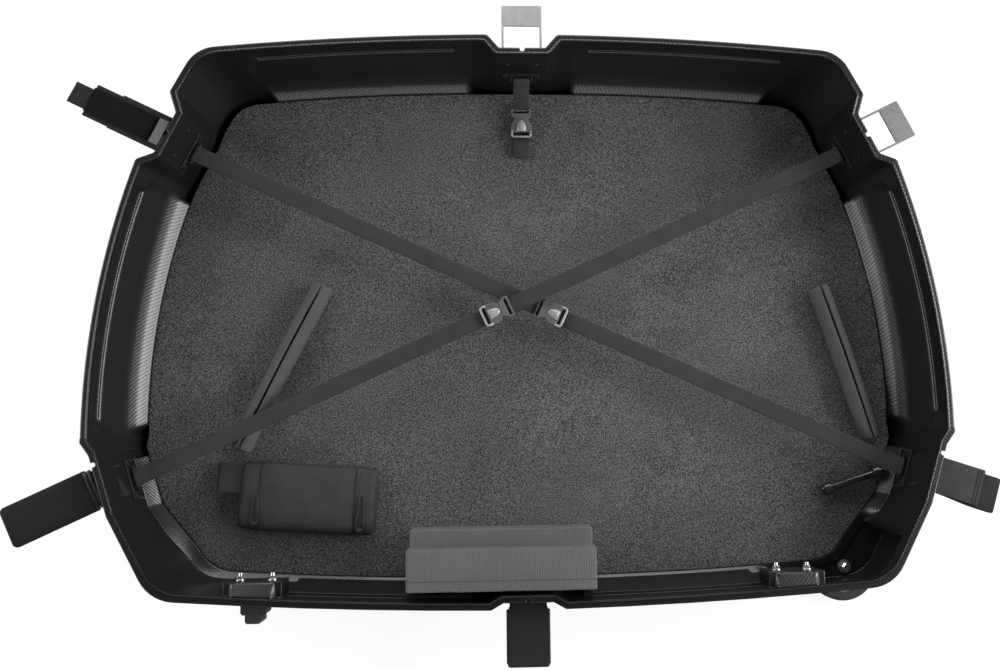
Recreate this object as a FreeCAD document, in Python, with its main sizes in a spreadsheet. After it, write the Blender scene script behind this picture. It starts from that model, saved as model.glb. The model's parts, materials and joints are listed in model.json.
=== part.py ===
import FreeCAD
import Part
import Sketcher
import math
import os
import re

# Driving sizes of the case half, in millimetres
sizes = {
    "case_width": 1270,
    "case_height": 856,
    "rim_level": 145,
    "wall": 3,
    "flange_width": 8,
    "flange_thick": 3.5,
    "lip_drop": 11,
    "lip_thick": 3,
    "tongue_rise": 2.5,
    "tongue_thick": 2,
    "chamfer_rise": 10,
    "chamfer_run": 8,
    "side_run": 43,
    "top_run": 38,
    "bottom_run": 18,
    "upper_corner_radius": 53,
    "lower_corner_radius": 60,
    "top_edge_sag": 5,
    "side_edge_sag": 18,
    "bottom_edge_sag": 4,
    "notch_floor": 71,
    "notch_mouth": 107,
    "top_notch_depth": 21,
    "bottom_notch_depth": 10,
    "upper_notch_depth": 20,
    "lower_notch_depth": 14,
    "rim_cut_width": 7,
    "rim_cut_depth": 6,
    "lower_cut_shift": 31,
    "panel_depth": 5,
    "panel_drop": 27,
    "panel_foot": 16,
    "panel_start": 30,
    "panel_end_gap": 13,
    "skin_gap": 0.3,
    "seat_gap": 0.1,
    "running_gap": 0.05,
    "overrun": 20,
    "mat_thick": 34,
    "mat_gap": 1.5,
    "wheel_radius": 54,
    "wheel_width": 24,
    "wheel_lift": 2,
    "wheel_setback": 34,
    "wheel_rise": 40,
    "well_gap": 6,
    "well_level": 29,
    "corner_block_radius": 80,
    "corner_block_inset": 2,
    "corner_block_drop": 13,
    "tyre_thick": 14,
    "tyre_crown": 5,
    "core_rim_thick": 5,
    "core_hub_radius": 15,
    "core_width": 20,
    "spoke_count": 5,
    "spoke_width": 9,
    "bearing_radius": 11,
    "bearing_width": 7,
    "axle_radius": 4,
    "axle_head_radius": 6.5,
    "axle_head_thick": 3.5,
    "axle_nut_radius": 7,
    "axle_nut_height": 8,
    "washer_radius": 10,
    "washer_thick": 1.6,
    "spacer_radius": 6,
    "pad_setback_side": 140,
    "pad_width": 76,
    "pad_low": 84,
    "pad_high": 132,
    "pad_setback": 42,
    "foot_base_width": 62,
    "foot_base_thick": 6,
    "foot_body_width": 36,
    "foot_peg_width": 23,
    "foot_depth": 36,
    "foot_height": 56,
    "foot_peg_height": 12,
    "foot_chamfer": 3,
    "skid_thick": 9,
    "bolt_spacing": 46,
    "bolt_radius": 3,
    "bolt_head_radius": 4.5,
    "bolt_head_thick": 3.2,
    "nut_radius": 5.5,
    "nut_height": 5,
    "nut_flange_radius": 7,
    "nut_flange_thick": 1.5,
    "bolt_tip": 4,
    "hinge_drop": 23,
    "hinge_reach": 8,
    "hinge_radius": 2.25,
    "knuckle_radius": 5,
    "knuckle_width": 5,
    "bracket_thick": 2.5,
    "bracket_above": 7,
    "bracket_below": 17,
    "bracket_rivet_drop": 11,
    "bracket_rivet_spread": 44,
    "barrel_length": 46,
    "rivet_radius": 2,
    "rivet_head_radius": 4,
    "rivet_head_thick": 1.6,
    "loop_width": 62,
    "loop_reach": 80,
    "loop_plate": 33,
    "loop_thick": 3,
    "loop_arm": 3.2,
    "loop_corner": 1.5,
    "closure_width": 54,
    "closure_wide": 61,
    "closure_neck": 12,
    "closure_thick": 5,
    "closure_eye": 1.8,
    "closure_play": 0.5,
    "closure_reach_upper": 136,
    "closure_reach_left": 150,
    "closure_reach_right": 106,
    "closure_reach_bottom": 94,
    "tab_length": 31,
    "tab_width": 34,
    "tab_thick": 2,
    "hook_pad_width": 39,
    "hook_pad_length": 106,
    "hook_pad_thick": 2,
    "anchor_level": 80,
    "anchor_width": 60,
    "anchor_height": 14,
    "anchor_thick": 2.5,
    "anchor_reach": 9,
    "anchor_bar_radius": 2,
    "anchor_lug": 4,
    "anchor_rivet_spread": 50,
    "webbing_width": 25,
    "webbing_thick": 1.5,
    "strap_a_sag": 14,
    "buckle_offset": 40,
    "buckle_width": 33,
    "buckle_thick": 10,
    "buckle_corner": 2.5,
    "socket_length": 21,
    "socket_arm": 8,
    "socket_wall": 1.8,
    "mouth_width": 20,
    "mouth_flare": 9,
    "mouth_bridge": 2.5,
    "relief_depth": 0.6,
    "plug_length": 10,
    "plug_arm": 8.5,
    "plug_thick": 7,
    "guide_length": 15,
    "guide_width": 4,
    "prong_thick": 3,
    "prong_space": 2.6,
    "prong_window": 10,
    "buckle_bar_radius": 1.8,
    "buckle_bar_inset": 2.4,
    "buckle_gap": 0.3,
    "top_strap_drop": 36,
    "top_strap_fold": 34,
    "block_x": -38,
    "block_width": 270,
    "block_gap": 2,
    "block_rear_top": 106,
    "block_rear_level": 102,
    "block_slot": 22,
    "block_slot_floor": 43,
    "block_front_top": 82,
    "block_over_rim": 15,
    "sleeve_radius": 17,
    "sleeve_bore": 11,
    "sleeve_slit": 3,
    "sleeve_rear_length": 276,
    "sleeve_fork_length": 250,
    "bag_length": 215,
    "bag_width": 108,
    "bag_thick": 30,
    "bag_edge": 12,
    "fork_spacer_length": 100,
    "fork_spacer_radius": 6,
    "fork_spacer_end_radius": 10,
    "fork_spacer_end": 9,
}

# Outline corners of the right half as shares of half the width and half the height
upper_corner_shares = (0.7717, 0.9416)
upper_notch_shares = ((0.8283, 0.7827), (0.8126, 0.7079), (0.8598, 0.5643), (0.9008, 0.5421))
lower_notch_shares = ((1.0, -0.4299), (0.9795, -0.4720), (0.9354, -0.6729))
lower_corner_shares = (0.8362, -0.9463)

# Wall panels as shares of half the width or half the height
side_panel_shares = (-0.35, 0.41)
top_panel_end_share = 0.677

# Middles of the loose packing pieces, as shares of half the width and half the height, and their turns
sleeve_rear_shares = (-0.583, -0.160)
sleeve_rear_turn = 63.9
sleeve_fork_shares = (0.795, -0.165)
sleeve_fork_turn = 106.8
bag_shares = (-0.520, -0.630)
bag_turn = -4
fork_spacer_shares = (0.803, -0.598)
fork_spacer_turn = 17

os.makedirs("parts", exist_ok=True)
doc = FreeCAD.newDocument("bike_travel_case")
sheet = doc.addObject("Spreadsheet::Sheet", "Sizes")
for row, (alias, number) in enumerate(sizes.items(), start=1):
    sheet.set(f"A{row}", alias)
    sheet.set(f"B{row}", str(number))
    sheet.setAlias(f"B{row}", alias)
doc.recompute()

Vec = FreeCAD.Vector
up = Vec(0, 0, 1)
still = FreeCAD.Rotation()
nodes = []


# Words of a formula become cells of the sheet
def bind(text):
    return re.sub(r"[a-z_]+", lambda word: "Sizes." + word.group(), str(text))


def value(text):
    return float(sheet.evalExpression(bind(text)))


def finish(label, piece, place=None):
    piece.Label = label
    if place is not None:
        piece.Placement = place
    nodes.append(piece)
    return piece


def solid_piece(label, shape, place=None):
    piece = doc.addObject("Part::Feature", "Shape_" + label)
    piece.Shape = shape
    return finish(label, piece, place)


# Boxes and rods are set by their middle
def box(size, middle=(0, 0, 0)):
    piece = doc.addObject("Part::Box", "Block")
    for side, text in zip(("Length", "Width", "Height"), size):
        piece.setExpression(side, bind(text))
    for axis, text, side in zip("xyz", middle, size):
        piece.setExpression("Placement.Base." + axis, bind(f"({text}) - ({side}) / 2"))
    return piece


rod_turns = {
    "x": FreeCAD.Rotation(Vec(0, 1, 0), 90),
    "y": FreeCAD.Rotation(Vec(1, 0, 0), -90),
    "z": still,
}


def rod(radius, length, middle=(0, 0, 0), along="z"):
    piece = doc.addObject("Part::Cylinder", "Rod")
    piece.setExpression("Radius", bind(radius))
    piece.setExpression("Height", bind(length))
    piece.Placement = FreeCAD.Placement(Vec(), rod_turns[along])
    for axis, text in zip("xyz", middle):
        start = f"({text}) - ({length}) / 2" if axis == along else text
        piece.setExpression("Placement.Base." + axis, bind(start))
    return piece


def joined(pieces):
    piece = doc.addObject("Part::MultiFuse", "Joined")
    piece.Shapes = pieces
    piece.Refine = True
    return piece


def less(base, tools):
    piece = doc.addObject("Part::Cut", "Less")
    piece.Base = base
    piece.Tool = tools[0] if len(tools) == 1 else joined(tools)
    piece.Refine = True
    return piece


# A body whose sketch corners are bound to the sheet
def new_body(label):
    return doc.addObject("PartDesign::Body", "Body_" + label)


def sketch_on(body, role):
    sketch = body.newObject("Sketcher::SketchObject", "Sketch")
    plane = [part for part in body.Origin.OriginFeatures if part.Role == role][0]
    sketch.AttachmentSupport = (plane, [""])
    sketch.MapMode = "FlatFace"
    return sketch


def tie(sketch, kind, place, text):
    index = sketch.addConstraint(Sketcher.Constraint(kind, -1, 1, *place, value(text)))
    sketch.setExpression(f"Constraints[{index}]", bind(text))


def polygon(sketch, corners):
    points = [Vec(value(x), value(y), 0) for x, y in corners]
    count = len(points)
    first = sketch.GeometryCount
    for index in range(count):
        sketch.addGeometry(Part.LineSegment(points[index], points[(index + 1) % count]), False)
    for index in range(count):
        following = first + (index + 1) % count
        sketch.addConstraint(Sketcher.Constraint("Coincident", first + index, 2, following, 1))
    for index, (x, y) in enumerate(corners):
        tie(sketch, "DistanceX", (first + index, 1), x)
        tie(sketch, "DistanceY", (first + index, 1), y)


def circle(sketch, radius, x="0", y="0"):
    middle = Vec(value(x), value(y), 0)
    index = sketch.addGeometry(Part.Circle(middle, up, value(radius)), False)
    bound = sketch.addConstraint(Sketcher.Constraint("Radius", index, value(radius)))
    sketch.setExpression(f"Constraints[{bound}]", bind(radius))
    tie(sketch, "DistanceX", (index, 3), x)
    tie(sketch, "DistanceY", (index, 3), y)


def grow(body, kind, sketch, length=None, both=True):
    step = body.newObject("PartDesign::" + kind, kind)
    step.Profile = sketch
    if length is None:
        step.Type = "ThroughAll"
    else:
        step.setExpression("Length", bind(length))
    if both:
        step.SideType = "Symmetric"
    body.Tip = step
    doc.recompute()
    return step


# Outline of the shell: corners clockwise from the top notch, seen from the open side
def right_corners():
    half = Vec(value("case_width / 2"), value("case_height / 2"), 0)

    def corner(shares, **more):
        point = Vec(half.x * shares[0], half.y * shares[1], 0)
        return {"at": point, "notch": None, "radius": 0, "bulge": 0, "run": "side_run", **more}

    def middle_corner(width, drop, sign, **more):
        point = Vec(value(width) / 2, sign * (half.y - drop), 0)
        run = "top_run" if sign > 0 else "bottom_run"
        return {"at": point, "notch": None, "radius": 0, "bulge": 0, "run": run, **more}

    upper = [corner(shares) for shares in upper_notch_shares]
    lower = [corner(shares) for shares in lower_notch_shares]
    upper[1]["notch"] = upper[2]["notch"] = "upper"
    lower[1]["notch"] = lower[2]["notch"] = "lower"
    upper[3]["bulge"] = value("side_edge_sag")
    return [
        middle_corner("notch_floor", value("top_notch_depth"), 1, notch="top"),
        middle_corner("notch_mouth", 0, 1, bulge=value("top_edge_sag")),
        corner(upper_corner_shares, radius=value("upper_corner_radius")),
        *upper,
        *lower,
        corner(
            lower_corner_shares,
            radius=value("lower_corner_radius"),
            bulge=value("bottom_edge_sag"),
            run="bottom_run",
        ),
        middle_corner("notch_mouth", 0, -1),
        middle_corner("notch_floor", value("bottom_notch_depth"), -1, notch="bottom"),
    ]


def all_corners():
    right = right_corners()
    left = []
    for index in reversed(range(len(right))):
        before = right[index - 1] if index else {"bulge": 0, "run": "top_run"}
        point = right[index]["at"]
        mirrored = {**right[index], "at": Vec(-point.x, point.y, 0)}
        left.append({**mirrored, "bulge": before["bulge"], "run": before["run"]})
    return right + left


# Outward normal of a chord, turned by the arc's angle at one of its ends
def edge_normal(start, stop, bulge=0, end=0):
    chord = stop - start
    lean = end * 2 * math.atan2(2 * bulge, chord.Length)
    angle = math.atan2(chord.y, chord.x) + math.pi / 2 + lean
    return Vec(math.cos(angle), math.sin(angle), 0)


# Every corner moves in along the normals of its two edges, or straight in where a notch fades
def moved_corners(inset, sunk):
    corners = all_corners()
    count = len(corners)
    moved = []
    for index, corner in enumerate(corners):
        before = corners[index - 1]
        after = corners[(index + 1) % count]
        here = corner["at"]
        depth_in = inset + sunk * value(before["run"])
        depth_out = inset + sunk * value(corner["run"])
        if sunk and corner["notch"]:
            paired = after if after["notch"] == corner["notch"] else before
            ends = (here, paired["at"]) if paired is after else (paired["at"], here)
            normal = edge_normal(*ends)
            run = value(corner["run"] if paired is after else before["run"])
            run -= value(corner["notch"] + "_notch_depth")
            moved.append((here - normal * (inset + run), normal, normal))
            continue
        if sunk and before["notch"]:
            before = next(c for c in corners[index - 3::-1] + corners[::-1] if not c["notch"])
        if sunk and after["notch"]:
            after = next(c for c in (corners + corners)[index + 2:] if not c["notch"])
        normal_in = edge_normal(before["at"], here, before["bulge"], -1)
        normal_out = edge_normal(here, after["at"], corner["bulge"], 1)
        across = normal_in.dot(normal_out)
        if abs(depth_in - depth_out) < value("seat_gap"):
            shift = (normal_in + normal_out) * (depth_in / (1 + across))
        else:
            share_in = (depth_in - depth_out * across) / (1 - across * across)
            share_out = (depth_out - depth_in * across) / (1 - across * across)
            shift = normal_in * share_in + normal_out * share_out
        moved.append((here - shift, normal_in, normal_out))
    return corners, moved


# The rounded corners and bowed edges of one level, as a closed wire
def outline(inset, sunk, level):
    corners, moved = moved_corners(inset, sunk)
    lift = up * level
    ends = []
    arcs = []
    for corner, (point, normal_in, normal_out) in zip(corners, moved):
        turn = math.acos(max(-1, min(1, normal_in.dot(normal_out))))
        if not corner["radius"]:
            ends.append((point, point))
            arcs.append(None)
            continue
        reach = corner["radius"] * math.tan(turn / 2)
        along_in = Vec(normal_in.y, -normal_in.x, 0)
        along_out = Vec(normal_out.y, -normal_out.x, 0)
        outward = (normal_in + normal_out).normalize()
        top = point - outward * (corner["radius"] / math.cos(turn / 2) - corner["radius"])
        ends.append((point - along_in * reach, point + along_out * reach))
        arcs.append(top)
    edges = []
    for index, corner in enumerate(corners):
        start = ends[index][1]
        stop = ends[(index + 1) % len(corners)][0]
        if arcs[index] is not None:
            arc = Part.Arc(ends[index][0] + lift, arcs[index] + lift, start + lift)
            edges.append(arc.toShape())
        if not corner["bulge"]:
            edges.append(Part.LineSegment(start + lift, stop + lift).toShape())
            continue
        whole = (moved[(index + 1) % len(corners)][0] - moved[index][0]).Length
        bulge = corner["bulge"] * ((stop - start).Length / whole) ** 2
        top = (start + stop) / 2 + edge_normal(start, stop) * bulge
        edges.append(Part.Arc(start + lift, top + lift, stop + lift).toShape())
    return Part.Wire(edges)


def slab(inset, sunk, low, high):
    return Part.Face(outline(inset, sunk, low)).extrude(up * (high - low))


def tray(inset, floor_level, top_level):
    levels = [
        outline(inset + value("chamfer_run"), 1, floor_level),
        outline(inset, 1, value("chamfer_rise")),
        outline(inset, 0, value("rim_level")),
    ]
    body = Part.makeLoft(levels, True, True)
    if top_level > value("rim_level"):
        body = body.fuse(slab(inset, 0, value("rim_level"), top_level))
    return body


def plain_box(low, high):
    size = Vec(*high) - Vec(*low)
    return Part.makeBox(size.x, size.y, size.z, Vec(*low))


# Zones of the wall panels, wider by a wall where the inner face is meant
def panel_zones(spread):
    half_x = value("case_width / 2")
    half_y = value("case_height / 2")
    low = value("panel_foot") - spread
    high = value("rim_level - panel_drop") + spread
    zones = []
    for sign in (-1, 1):
        y_low = side_panel_shares[0] * half_y - spread
        y_high = side_panel_shares[1] * half_y + spread
        x_ends = sorted((sign * half_x / 2, sign * 2 * half_x))
        zones.append(plain_box((x_ends[0], y_low, low), (x_ends[1], y_high, high)))
        near = value("notch_mouth / 2 + panel_start") - spread
        pad_end = pad_x - value("pad_width / 2 + panel_end_gap")
        for side, end in ((1, top_panel_end_share * half_x), (-1, pad_end)):
            far = end + spread
            x_ends = sorted((sign * near, sign * far))
            y_ends = sorted((side * half_y / 2, side * 2 * half_y))
            zones.append(plain_box((x_ends[0], y_ends[0], low), (x_ends[1], y_ends[1], high)))
    return zones[0].multiFuse(zones[1:])


def panelled(body, deep_body, spread):
    return body.cut(body.cut(deep_body).common(panel_zones(spread)))


lower_corner_x = lower_corner_shares[0] * value("case_width / 2")
wheel_x = lower_corner_x - value("wheel_setback")
wheel_middle = Vec(wheel_x, value("wheel_rise - case_height / 2"), 0)
pad_x = lower_corner_x - value("pad_setback_side")
pad_level = value("pad_setback - case_height / 2")
pad_middle_level = value("(pad_low + pad_high) / 2")
mat_top = value("wall + mat_thick")


def wheel_zone(radius, low, high):
    return Part.makeCylinder(radius, high - low, wheel_middle + up * low)


def well(spread):
    radius = value("wheel_radius + well_gap") + spread
    high = value("well_level") + spread
    return wheel_zone(radius, -value("wall"), high)


def pads(spread):
    half = value("pad_width / 2") + spread
    low = value("pad_low") - spread
    high = value("pad_high") + spread
    zones = []
    for sign in (-1, 1):
        x = sign * pad_x
        bottom = -value("case_height")
        zones.append(plain_box((x - half, bottom, low), (x + half, pad_level + spread, high)))
    return zones[0].fuse(zones[1])


# Stations of the closures and straps: middle of the notch, outward direction and net run of its wall
def stations():
    corners = all_corners()
    count = len(corners)
    found = {}
    for index, corner in enumerate(corners):
        after = corners[(index + 1) % count]
        if not corner["notch"] or after["notch"] != corner["notch"]:
            continue
        middle = (corner["at"] + after["at"]) / 2
        name = corner["notch"]
        if name in ("upper", "lower"):
            name += "_right" if middle.x > 0 else "_left"
        normal = edge_normal(corner["at"], after["at"])
        run = value(corner["run"]) - value(corner["notch"] + "_notch_depth")
        found[name] = {"middle": middle, "normal": normal, "run": run}
    return found


places = stations()


def wall_slope(name):
    return places[name]["run"] / value("rim_level - chamfer_rise")


# Frame on a notch wall: X along the notch, Y square to the wall, Z up the wall
def wall_frame(name, level, inside):
    place = places[name]
    slope = wall_slope(name)
    inset = value("flange_width") + slope * (value("rim_level") - level)
    if inside:
        inset += value("wall")
    origin = place["middle"] - place["normal"] * inset + up * level
    rise = (up + place["normal"] * slope).normalize()
    along = place["normal"].cross(up)
    square = rise.cross(along)
    if inside:
        square = -square
        along = -along
    turn = FreeCAD.Rotation(along, square, rise, "ZXY")
    return FreeCAD.Placement(origin, turn)


def hinge_frame(name):
    frame = wall_frame(name, value("rim_level - hinge_drop"), False)
    origin = frame.multVec(Vec(0, value("hinge_reach"), 0))
    along = places[name]["normal"].cross(up)
    turn = FreeCAD.Rotation(along, places[name]["normal"], up, "ZXY")
    return FreeCAD.Placement(origin, turn)


def anchor_frame(name):
    return wall_frame(name, value("anchor_level"), True)


def pair_of_pins(frame, spread, drop, radius):
    length = value("overrun")
    pins = []
    for sign in (-1, 1):
        spot = Vec(sign * spread / 2, -length / 2, -drop)
        pin = Part.makeCylinder(radius, length, spot, Vec(0, 1, 0))
        pin.Placement = frame.multiply(pin.Placement)
        pins.append(pin)
    return pins


strap_stations = ("top", "upper_left", "upper_right", "lower_left", "lower_right")
loop_stations = ("top", "upper_right")
webbing_stations = ("upper_left", "lower_left", "lower_right", "bottom")


def shell_holes():
    tools = []
    clear = value("rivet_radius + running_gap")
    for name in places:
        frame = wall_frame(name, value("rim_level - hinge_drop"), False)
        spread = value("bracket_rivet_spread")
        tools += pair_of_pins(frame, spread, value("bracket_rivet_drop"), clear)
        if name in strap_stations:
            tools += pair_of_pins(anchor_frame(name), value("anchor_rivet_spread"), 0, clear)
    bolt = value("bolt_radius + running_gap")
    for sign in (-1, 1):
        for side in (-1, 1):
            x = sign * pad_x + side * value("bolt_spacing / 2")
            start = Vec(x, pad_level - value("overrun / 2"), pad_middle_level)
            tools.append(Part.makeCylinder(bolt, value("overrun"), start, Vec(0, 1, 0)))
    axle = value("axle_radius + running_gap")
    tools.append(wheel_zone(axle, 0, value("well_level + overrun")))
    return tools


# Small round-ended cuts in the lip: in the middle of a notch, or beside the strap of a lower notch
def rim_cuts():
    tools = []
    half = value("rim_cut_width / 2")
    depth = value("rim_cut_depth")
    low = value("rim_level - lip_drop - overrun / 4")
    tall = value("lip_drop + overrun")
    for name, place in places.items():
        along = place["normal"].cross(up)
        aside = value("lower_cut_shift") if name.startswith("lower") else 0
        middle = place["middle"] + along * math.copysign(aside, along.y)
        inner = middle - place["normal"] * (depth - half) + up * low
        round_end = Part.makeCylinder(half, tall, inner)
        mouth = Part.makeBox(half * 2, depth * 2, tall, Vec(-half, 0, 0))
        turn = FreeCAD.Rotation(along, place["normal"], up, "ZXY")
        mouth.Placement = FreeCAD.Placement(inner, turn)
        tools.append(round_end.fuse(mouth))
    return tools


# Case half: tapered tray with flange, lip and tongue, panels, wheel well and foot pockets
def build_shell():
    flange = value("flange_width")
    wall = value("wall")
    rim = value("rim_level")
    panel = value("panel_depth")
    outer = panelled(tray(flange, 0, rim), tray(flange + panel, 0, rim), 0)
    top = value("rim_level + overrun")
    inner_tray = tray(flange + wall, wall, top)
    inner = panelled(inner_tray, tray(flange + wall + panel, wall, top), wall)
    block_inset = value("corner_block_inset")
    block_top = value("rim_level - flange_thick")
    block_low = value("well_level")
    radius = value("corner_block_radius")
    block = slab(block_inset, 0, block_low, block_top).common(wheel_zone(radius, block_low, block_top))
    room_low = block_low + wall
    room_top = value("rim_level - corner_block_drop")
    room = slab(block_inset + wall, 0, room_low, room_top)
    room = room.common(wheel_zone(radius - wall, room_low, room_top))
    outer = outer.fuse(block).cut(well(0)).cut(pads(0))
    inner = inner.fuse(room).cut(well(wall)).cut(pads(wall))
    shelf = slab(0, 0, value("rim_level - flange_thick"), rim)
    lip = slab(0, 0, value("rim_level - lip_drop"), rim)
    lip = lip.cut(slab(value("lip_thick"), 0, value("rim_level - lip_drop"), rim))
    tongue = slab(value("flange_width + wall - tongue_thick"), 0, rim, value("rim_level + tongue_rise"))
    shell = outer.multiFuse([shelf, lip, tongue])
    shell = shell.cut(inner)
    for tool in shell_holes() + rim_cuts():
        shell = shell.cut(tool)
    solid_piece("base_shell", refined(shell))


# Merges the faces that lie in one plane, where that keeps the solid whole
def refined(shape):
    merged = shape.copy().removeSplitter()
    same = abs(merged.Volume / shape.Volume - 1) < value("seat_gap") / value("case_width")
    return merged if merged.isValid() and same else shape


# Floor mat: foam sheet cut to the floor, with room for the wheel well under it
def build_mat():
    inset = value("flange_width + wall + chamfer_run + mat_gap")
    low = value("wall + seat_gap")
    mat = slab(inset, 1, low, mat_top)
    hollow = well(value("wall + mat_gap"))
    solid_piece("floor_mat", mat.cut(hollow))


# Foam block for the chainring: tall rear part, slot and lower front plank
def build_block():
    base = "-(case_height / 2 - bottom_notch_depth - flange_width - wall - block_gap - panel_depth)"
    slope = "(bottom_run - bottom_notch_depth) / (rim_level - chamfer_rise)"
    low = "wall + mat_thick + skin_gap"
    foot_y = f"({base}) + ({slope}) * (rim_level - ({low}))"
    slot_high = "block_rear_level + block_slot"
    corners = [
        (foot_y, low),
        (base, "rim_level + block_over_rim"),
        (f"({base}) + block_front_top - block_slot", "rim_level + block_over_rim"),
        (f"({base}) + block_front_top - block_slot", slot_high),
        (f"({base}) + block_slot_floor - block_slot", slot_high),
        (f"({base}) + block_slot_floor - block_slot", "block_rear_level"),
        (f"({base}) + block_rear_top - block_slot", "block_rear_level"),
        (f"({base}) + block_rear_top - block_slot", low),
    ]
    body = new_body("block")
    sketch = sketch_on(body, "YZ_Plane")
    polygon(sketch, corners)
    grow(body, "Pad", sketch, "block_width")
    finish("chainring_block", body, FreeCAD.Placement(Vec(value("block_x"), 0, 0), still))


# Wheel: tyre, spoked core, two bearings and the spacer between them
def build_wheel():
    place = FreeCAD.Placement(wheel_middle + up * value("wheel_lift + wheel_width / 2"), still)
    tyre = new_body("tyre")
    sketch = sketch_on(tyre, "XZ_Plane")
    outer = "wheel_radius"
    inner = "wheel_radius - tyre_thick + running_gap"
    edge = "wheel_radius - tyre_crown"
    half = "wheel_width / 2"
    shoulder = "wheel_width / 2 - tyre_crown"
    polygon(
        sketch,
        [
            (inner, f"-({half})"),
            (edge, f"-({half})"),
            (outer, f"-({shoulder})"),
            (outer, shoulder),
            (edge, half),
            (inner, half),
        ],
    )
    turned = tyre.newObject("PartDesign::Revolution", "Revolution")
    turned.Profile = sketch
    turned.ReferenceAxis = (sketch, ["V_Axis"])
    turned.Angle = 360
    tyre.Tip = turned
    doc.recompute()
    finish("wheel_tyre", tyre, place)

    core = new_body("core")
    ring = sketch_on(core, "XY_Plane")
    circle(ring, "wheel_radius - tyre_thick")
    circle(ring, "bearing_radius")
    grow(core, "Pad", ring, "core_width")
    window = sketch_on(core, "XY_Plane")
    near = "core_hub_radius + spoke_width / 2"
    far = "wheel_radius - tyre_thick - core_rim_thick - spoke_width / 4"
    polygon(
        window,
        [
            (near, "-spoke_width / 4"),
            (far, "-(wheel_radius - tyre_thick) / 3"),
            (far, "(wheel_radius - tyre_thick) / 3"),
            (near, "spoke_width / 4"),
        ],
    )
    pocket = grow(core, "Pocket", window)
    pattern = core.newObject("PartDesign::PolarPattern", "PolarPattern")
    pattern.Originals = [pocket]
    pattern.Axis = (ring, ["N_Axis"])
    pattern.Angle = 360
    pattern.Occurrences = int(value("spoke_count"))
    core.Tip = pattern
    doc.recompute()
    finish("wheel_core", core, place)

    step = "core_width / 2 - bearing_width / 2"
    races = []
    for sign in ("-", ""):
        middle = ("0", "0", f"{sign}({step})")
        races.append(less(rod("bearing_radius", "bearing_width", middle), [
            rod("axle_radius + running_gap", "core_width * 2"),
        ]))
    finish("wheel_bearings", compound(races), place)
    between = less(rod("spacer_radius", "core_width - bearing_width * 2"), [
        rod("axle_radius + running_gap", "core_width"),
    ])
    finish("bearing_spacer", between, place)


def compound(pieces):
    piece = doc.addObject("Part::Compound", "Group")
    piece.Links = pieces
    return piece


# Axle: bolt from the outer side, spacer, washer and capped nut inside the case
def build_axle():
    place = FreeCAD.Placement(wheel_middle, still)
    core_low = "wheel_lift + wheel_width / 2 - core_width / 2"
    core_high = "wheel_lift + wheel_width / 2 + core_width / 2"
    ceiling = "well_level + wall"
    nut_low = f"{ceiling} + washer_thick"
    head_top = f"{core_low} - seat_gap"
    head = rod("axle_head_radius", "axle_head_thick", ("0", "0", f"{head_top} - axle_head_thick / 2"))
    length = f"{nut_low} + nut_height - ({head_top})"
    shank = rod("axle_radius", length, ("0", "0", f"{head_top} + ({length}) / 2"))
    finish("axle_bolt", joined([head, shank]), place)
    gap = f"well_level - ({core_high}) - seat_gap"
    sleeve = less(rod("spacer_radius", gap, ("0", "0", f"well_level - ({gap}) / 2")), [
        rod("axle_radius + running_gap", "rim_level"),
    ])
    finish("axle_spacer", sleeve, place)
    washer = less(rod("washer_radius", "washer_thick", ("0", "0", f"{ceiling} + washer_thick / 2")), [
        rod("axle_radius + running_gap", "rim_level"),
    ])
    finish("axle_washer", washer, place)
    bored = "nut_height + running_gap"
    prism = doc.addObject("Part::Prism", "Nut")
    prism.Polygon = 6
    prism.setExpression("Circumradius", bind("axle_nut_radius"))
    prism.setExpression("Height", bind("nut_height"))
    prism.setExpression("Placement.Base.z", bind(nut_low))
    cap_low = f"{nut_low} + nut_height"
    cap = doc.addObject("Part::Cone", "Cap")
    cap.setExpression("Radius1", bind("axle_nut_radius * 0.8"))
    cap.setExpression("Radius2", bind("axle_nut_radius * 0.4"))
    cap.setExpression("Height", bind("axle_nut_height - nut_height"))
    cap.setExpression("Placement.Base.z", bind(cap_low))
    hole = rod("axle_radius + running_gap", bored, ("0", "0", f"{nut_low} + ({bored}) / 2"))
    finish("axle_nut", less(joined([prism, cap]), [hole]), place)


# Foot and skid plate bolted into the two pockets of the bottom wall
def build_feet():
    level = pad_middle_level
    left = FreeCAD.Placement(Vec(-pad_x, pad_level, level), still)
    right = FreeCAD.Placement(Vec(pad_x, pad_level, level), still)
    body = new_body("foot")
    sketch = sketch_on(body, "XY_Plane")
    base = "foot_base_width / 2"
    trunk = "foot_body_width / 2"
    peg = "foot_peg_width / 2"
    step = "-(foot_height - foot_peg_height)"
    half = [
        (base, "0"),
        (base, "-foot_base_thick"),
        (trunk, "-foot_base_thick"),
        (trunk, f"{step} + foot_chamfer"),
        (f"{trunk} - foot_chamfer", step),
        (peg, step),
        (peg, "-foot_height + foot_chamfer"),
        (f"{peg} - foot_chamfer", "-foot_height"),
    ]
    polygon(sketch, half + [(f"-({x})", y) for x, y in reversed(half)])
    grow(body, "Pad", sketch, "foot_depth")
    bore_for_bolts(body)
    finish("corner_foot", body, left)

    plate = new_body("skid")
    sketch = sketch_on(plate, "XY_Plane")
    half = [
        (base, "0"),
        (base, "-skid_thick + foot_chamfer"),
        (f"{base} - foot_chamfer", "-skid_thick"),
    ]
    polygon(sketch, half + [(f"-({x})", y) for x, y in reversed(half)])
    grow(plate, "Pad", sketch, "foot_depth")
    bore_for_bolts(plate, "skid_thick - foot_base_thick")
    finish("skid_plate", plate, right)

    bolts = []
    nuts = []
    for place in (left, right):
        for side in (-1, 1):
            spot = FreeCAD.Placement(Vec(side * value("bolt_spacing / 2"), 0, 0), still)
            bolts.append(bolt_shape(place.multiply(spot)))
            nuts.append(nut_shape(place.multiply(spot)))
    solid_piece("foot_bolts", Part.Compound(bolts))
    solid_piece("foot_nuts", Part.Compound(nuts))


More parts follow.
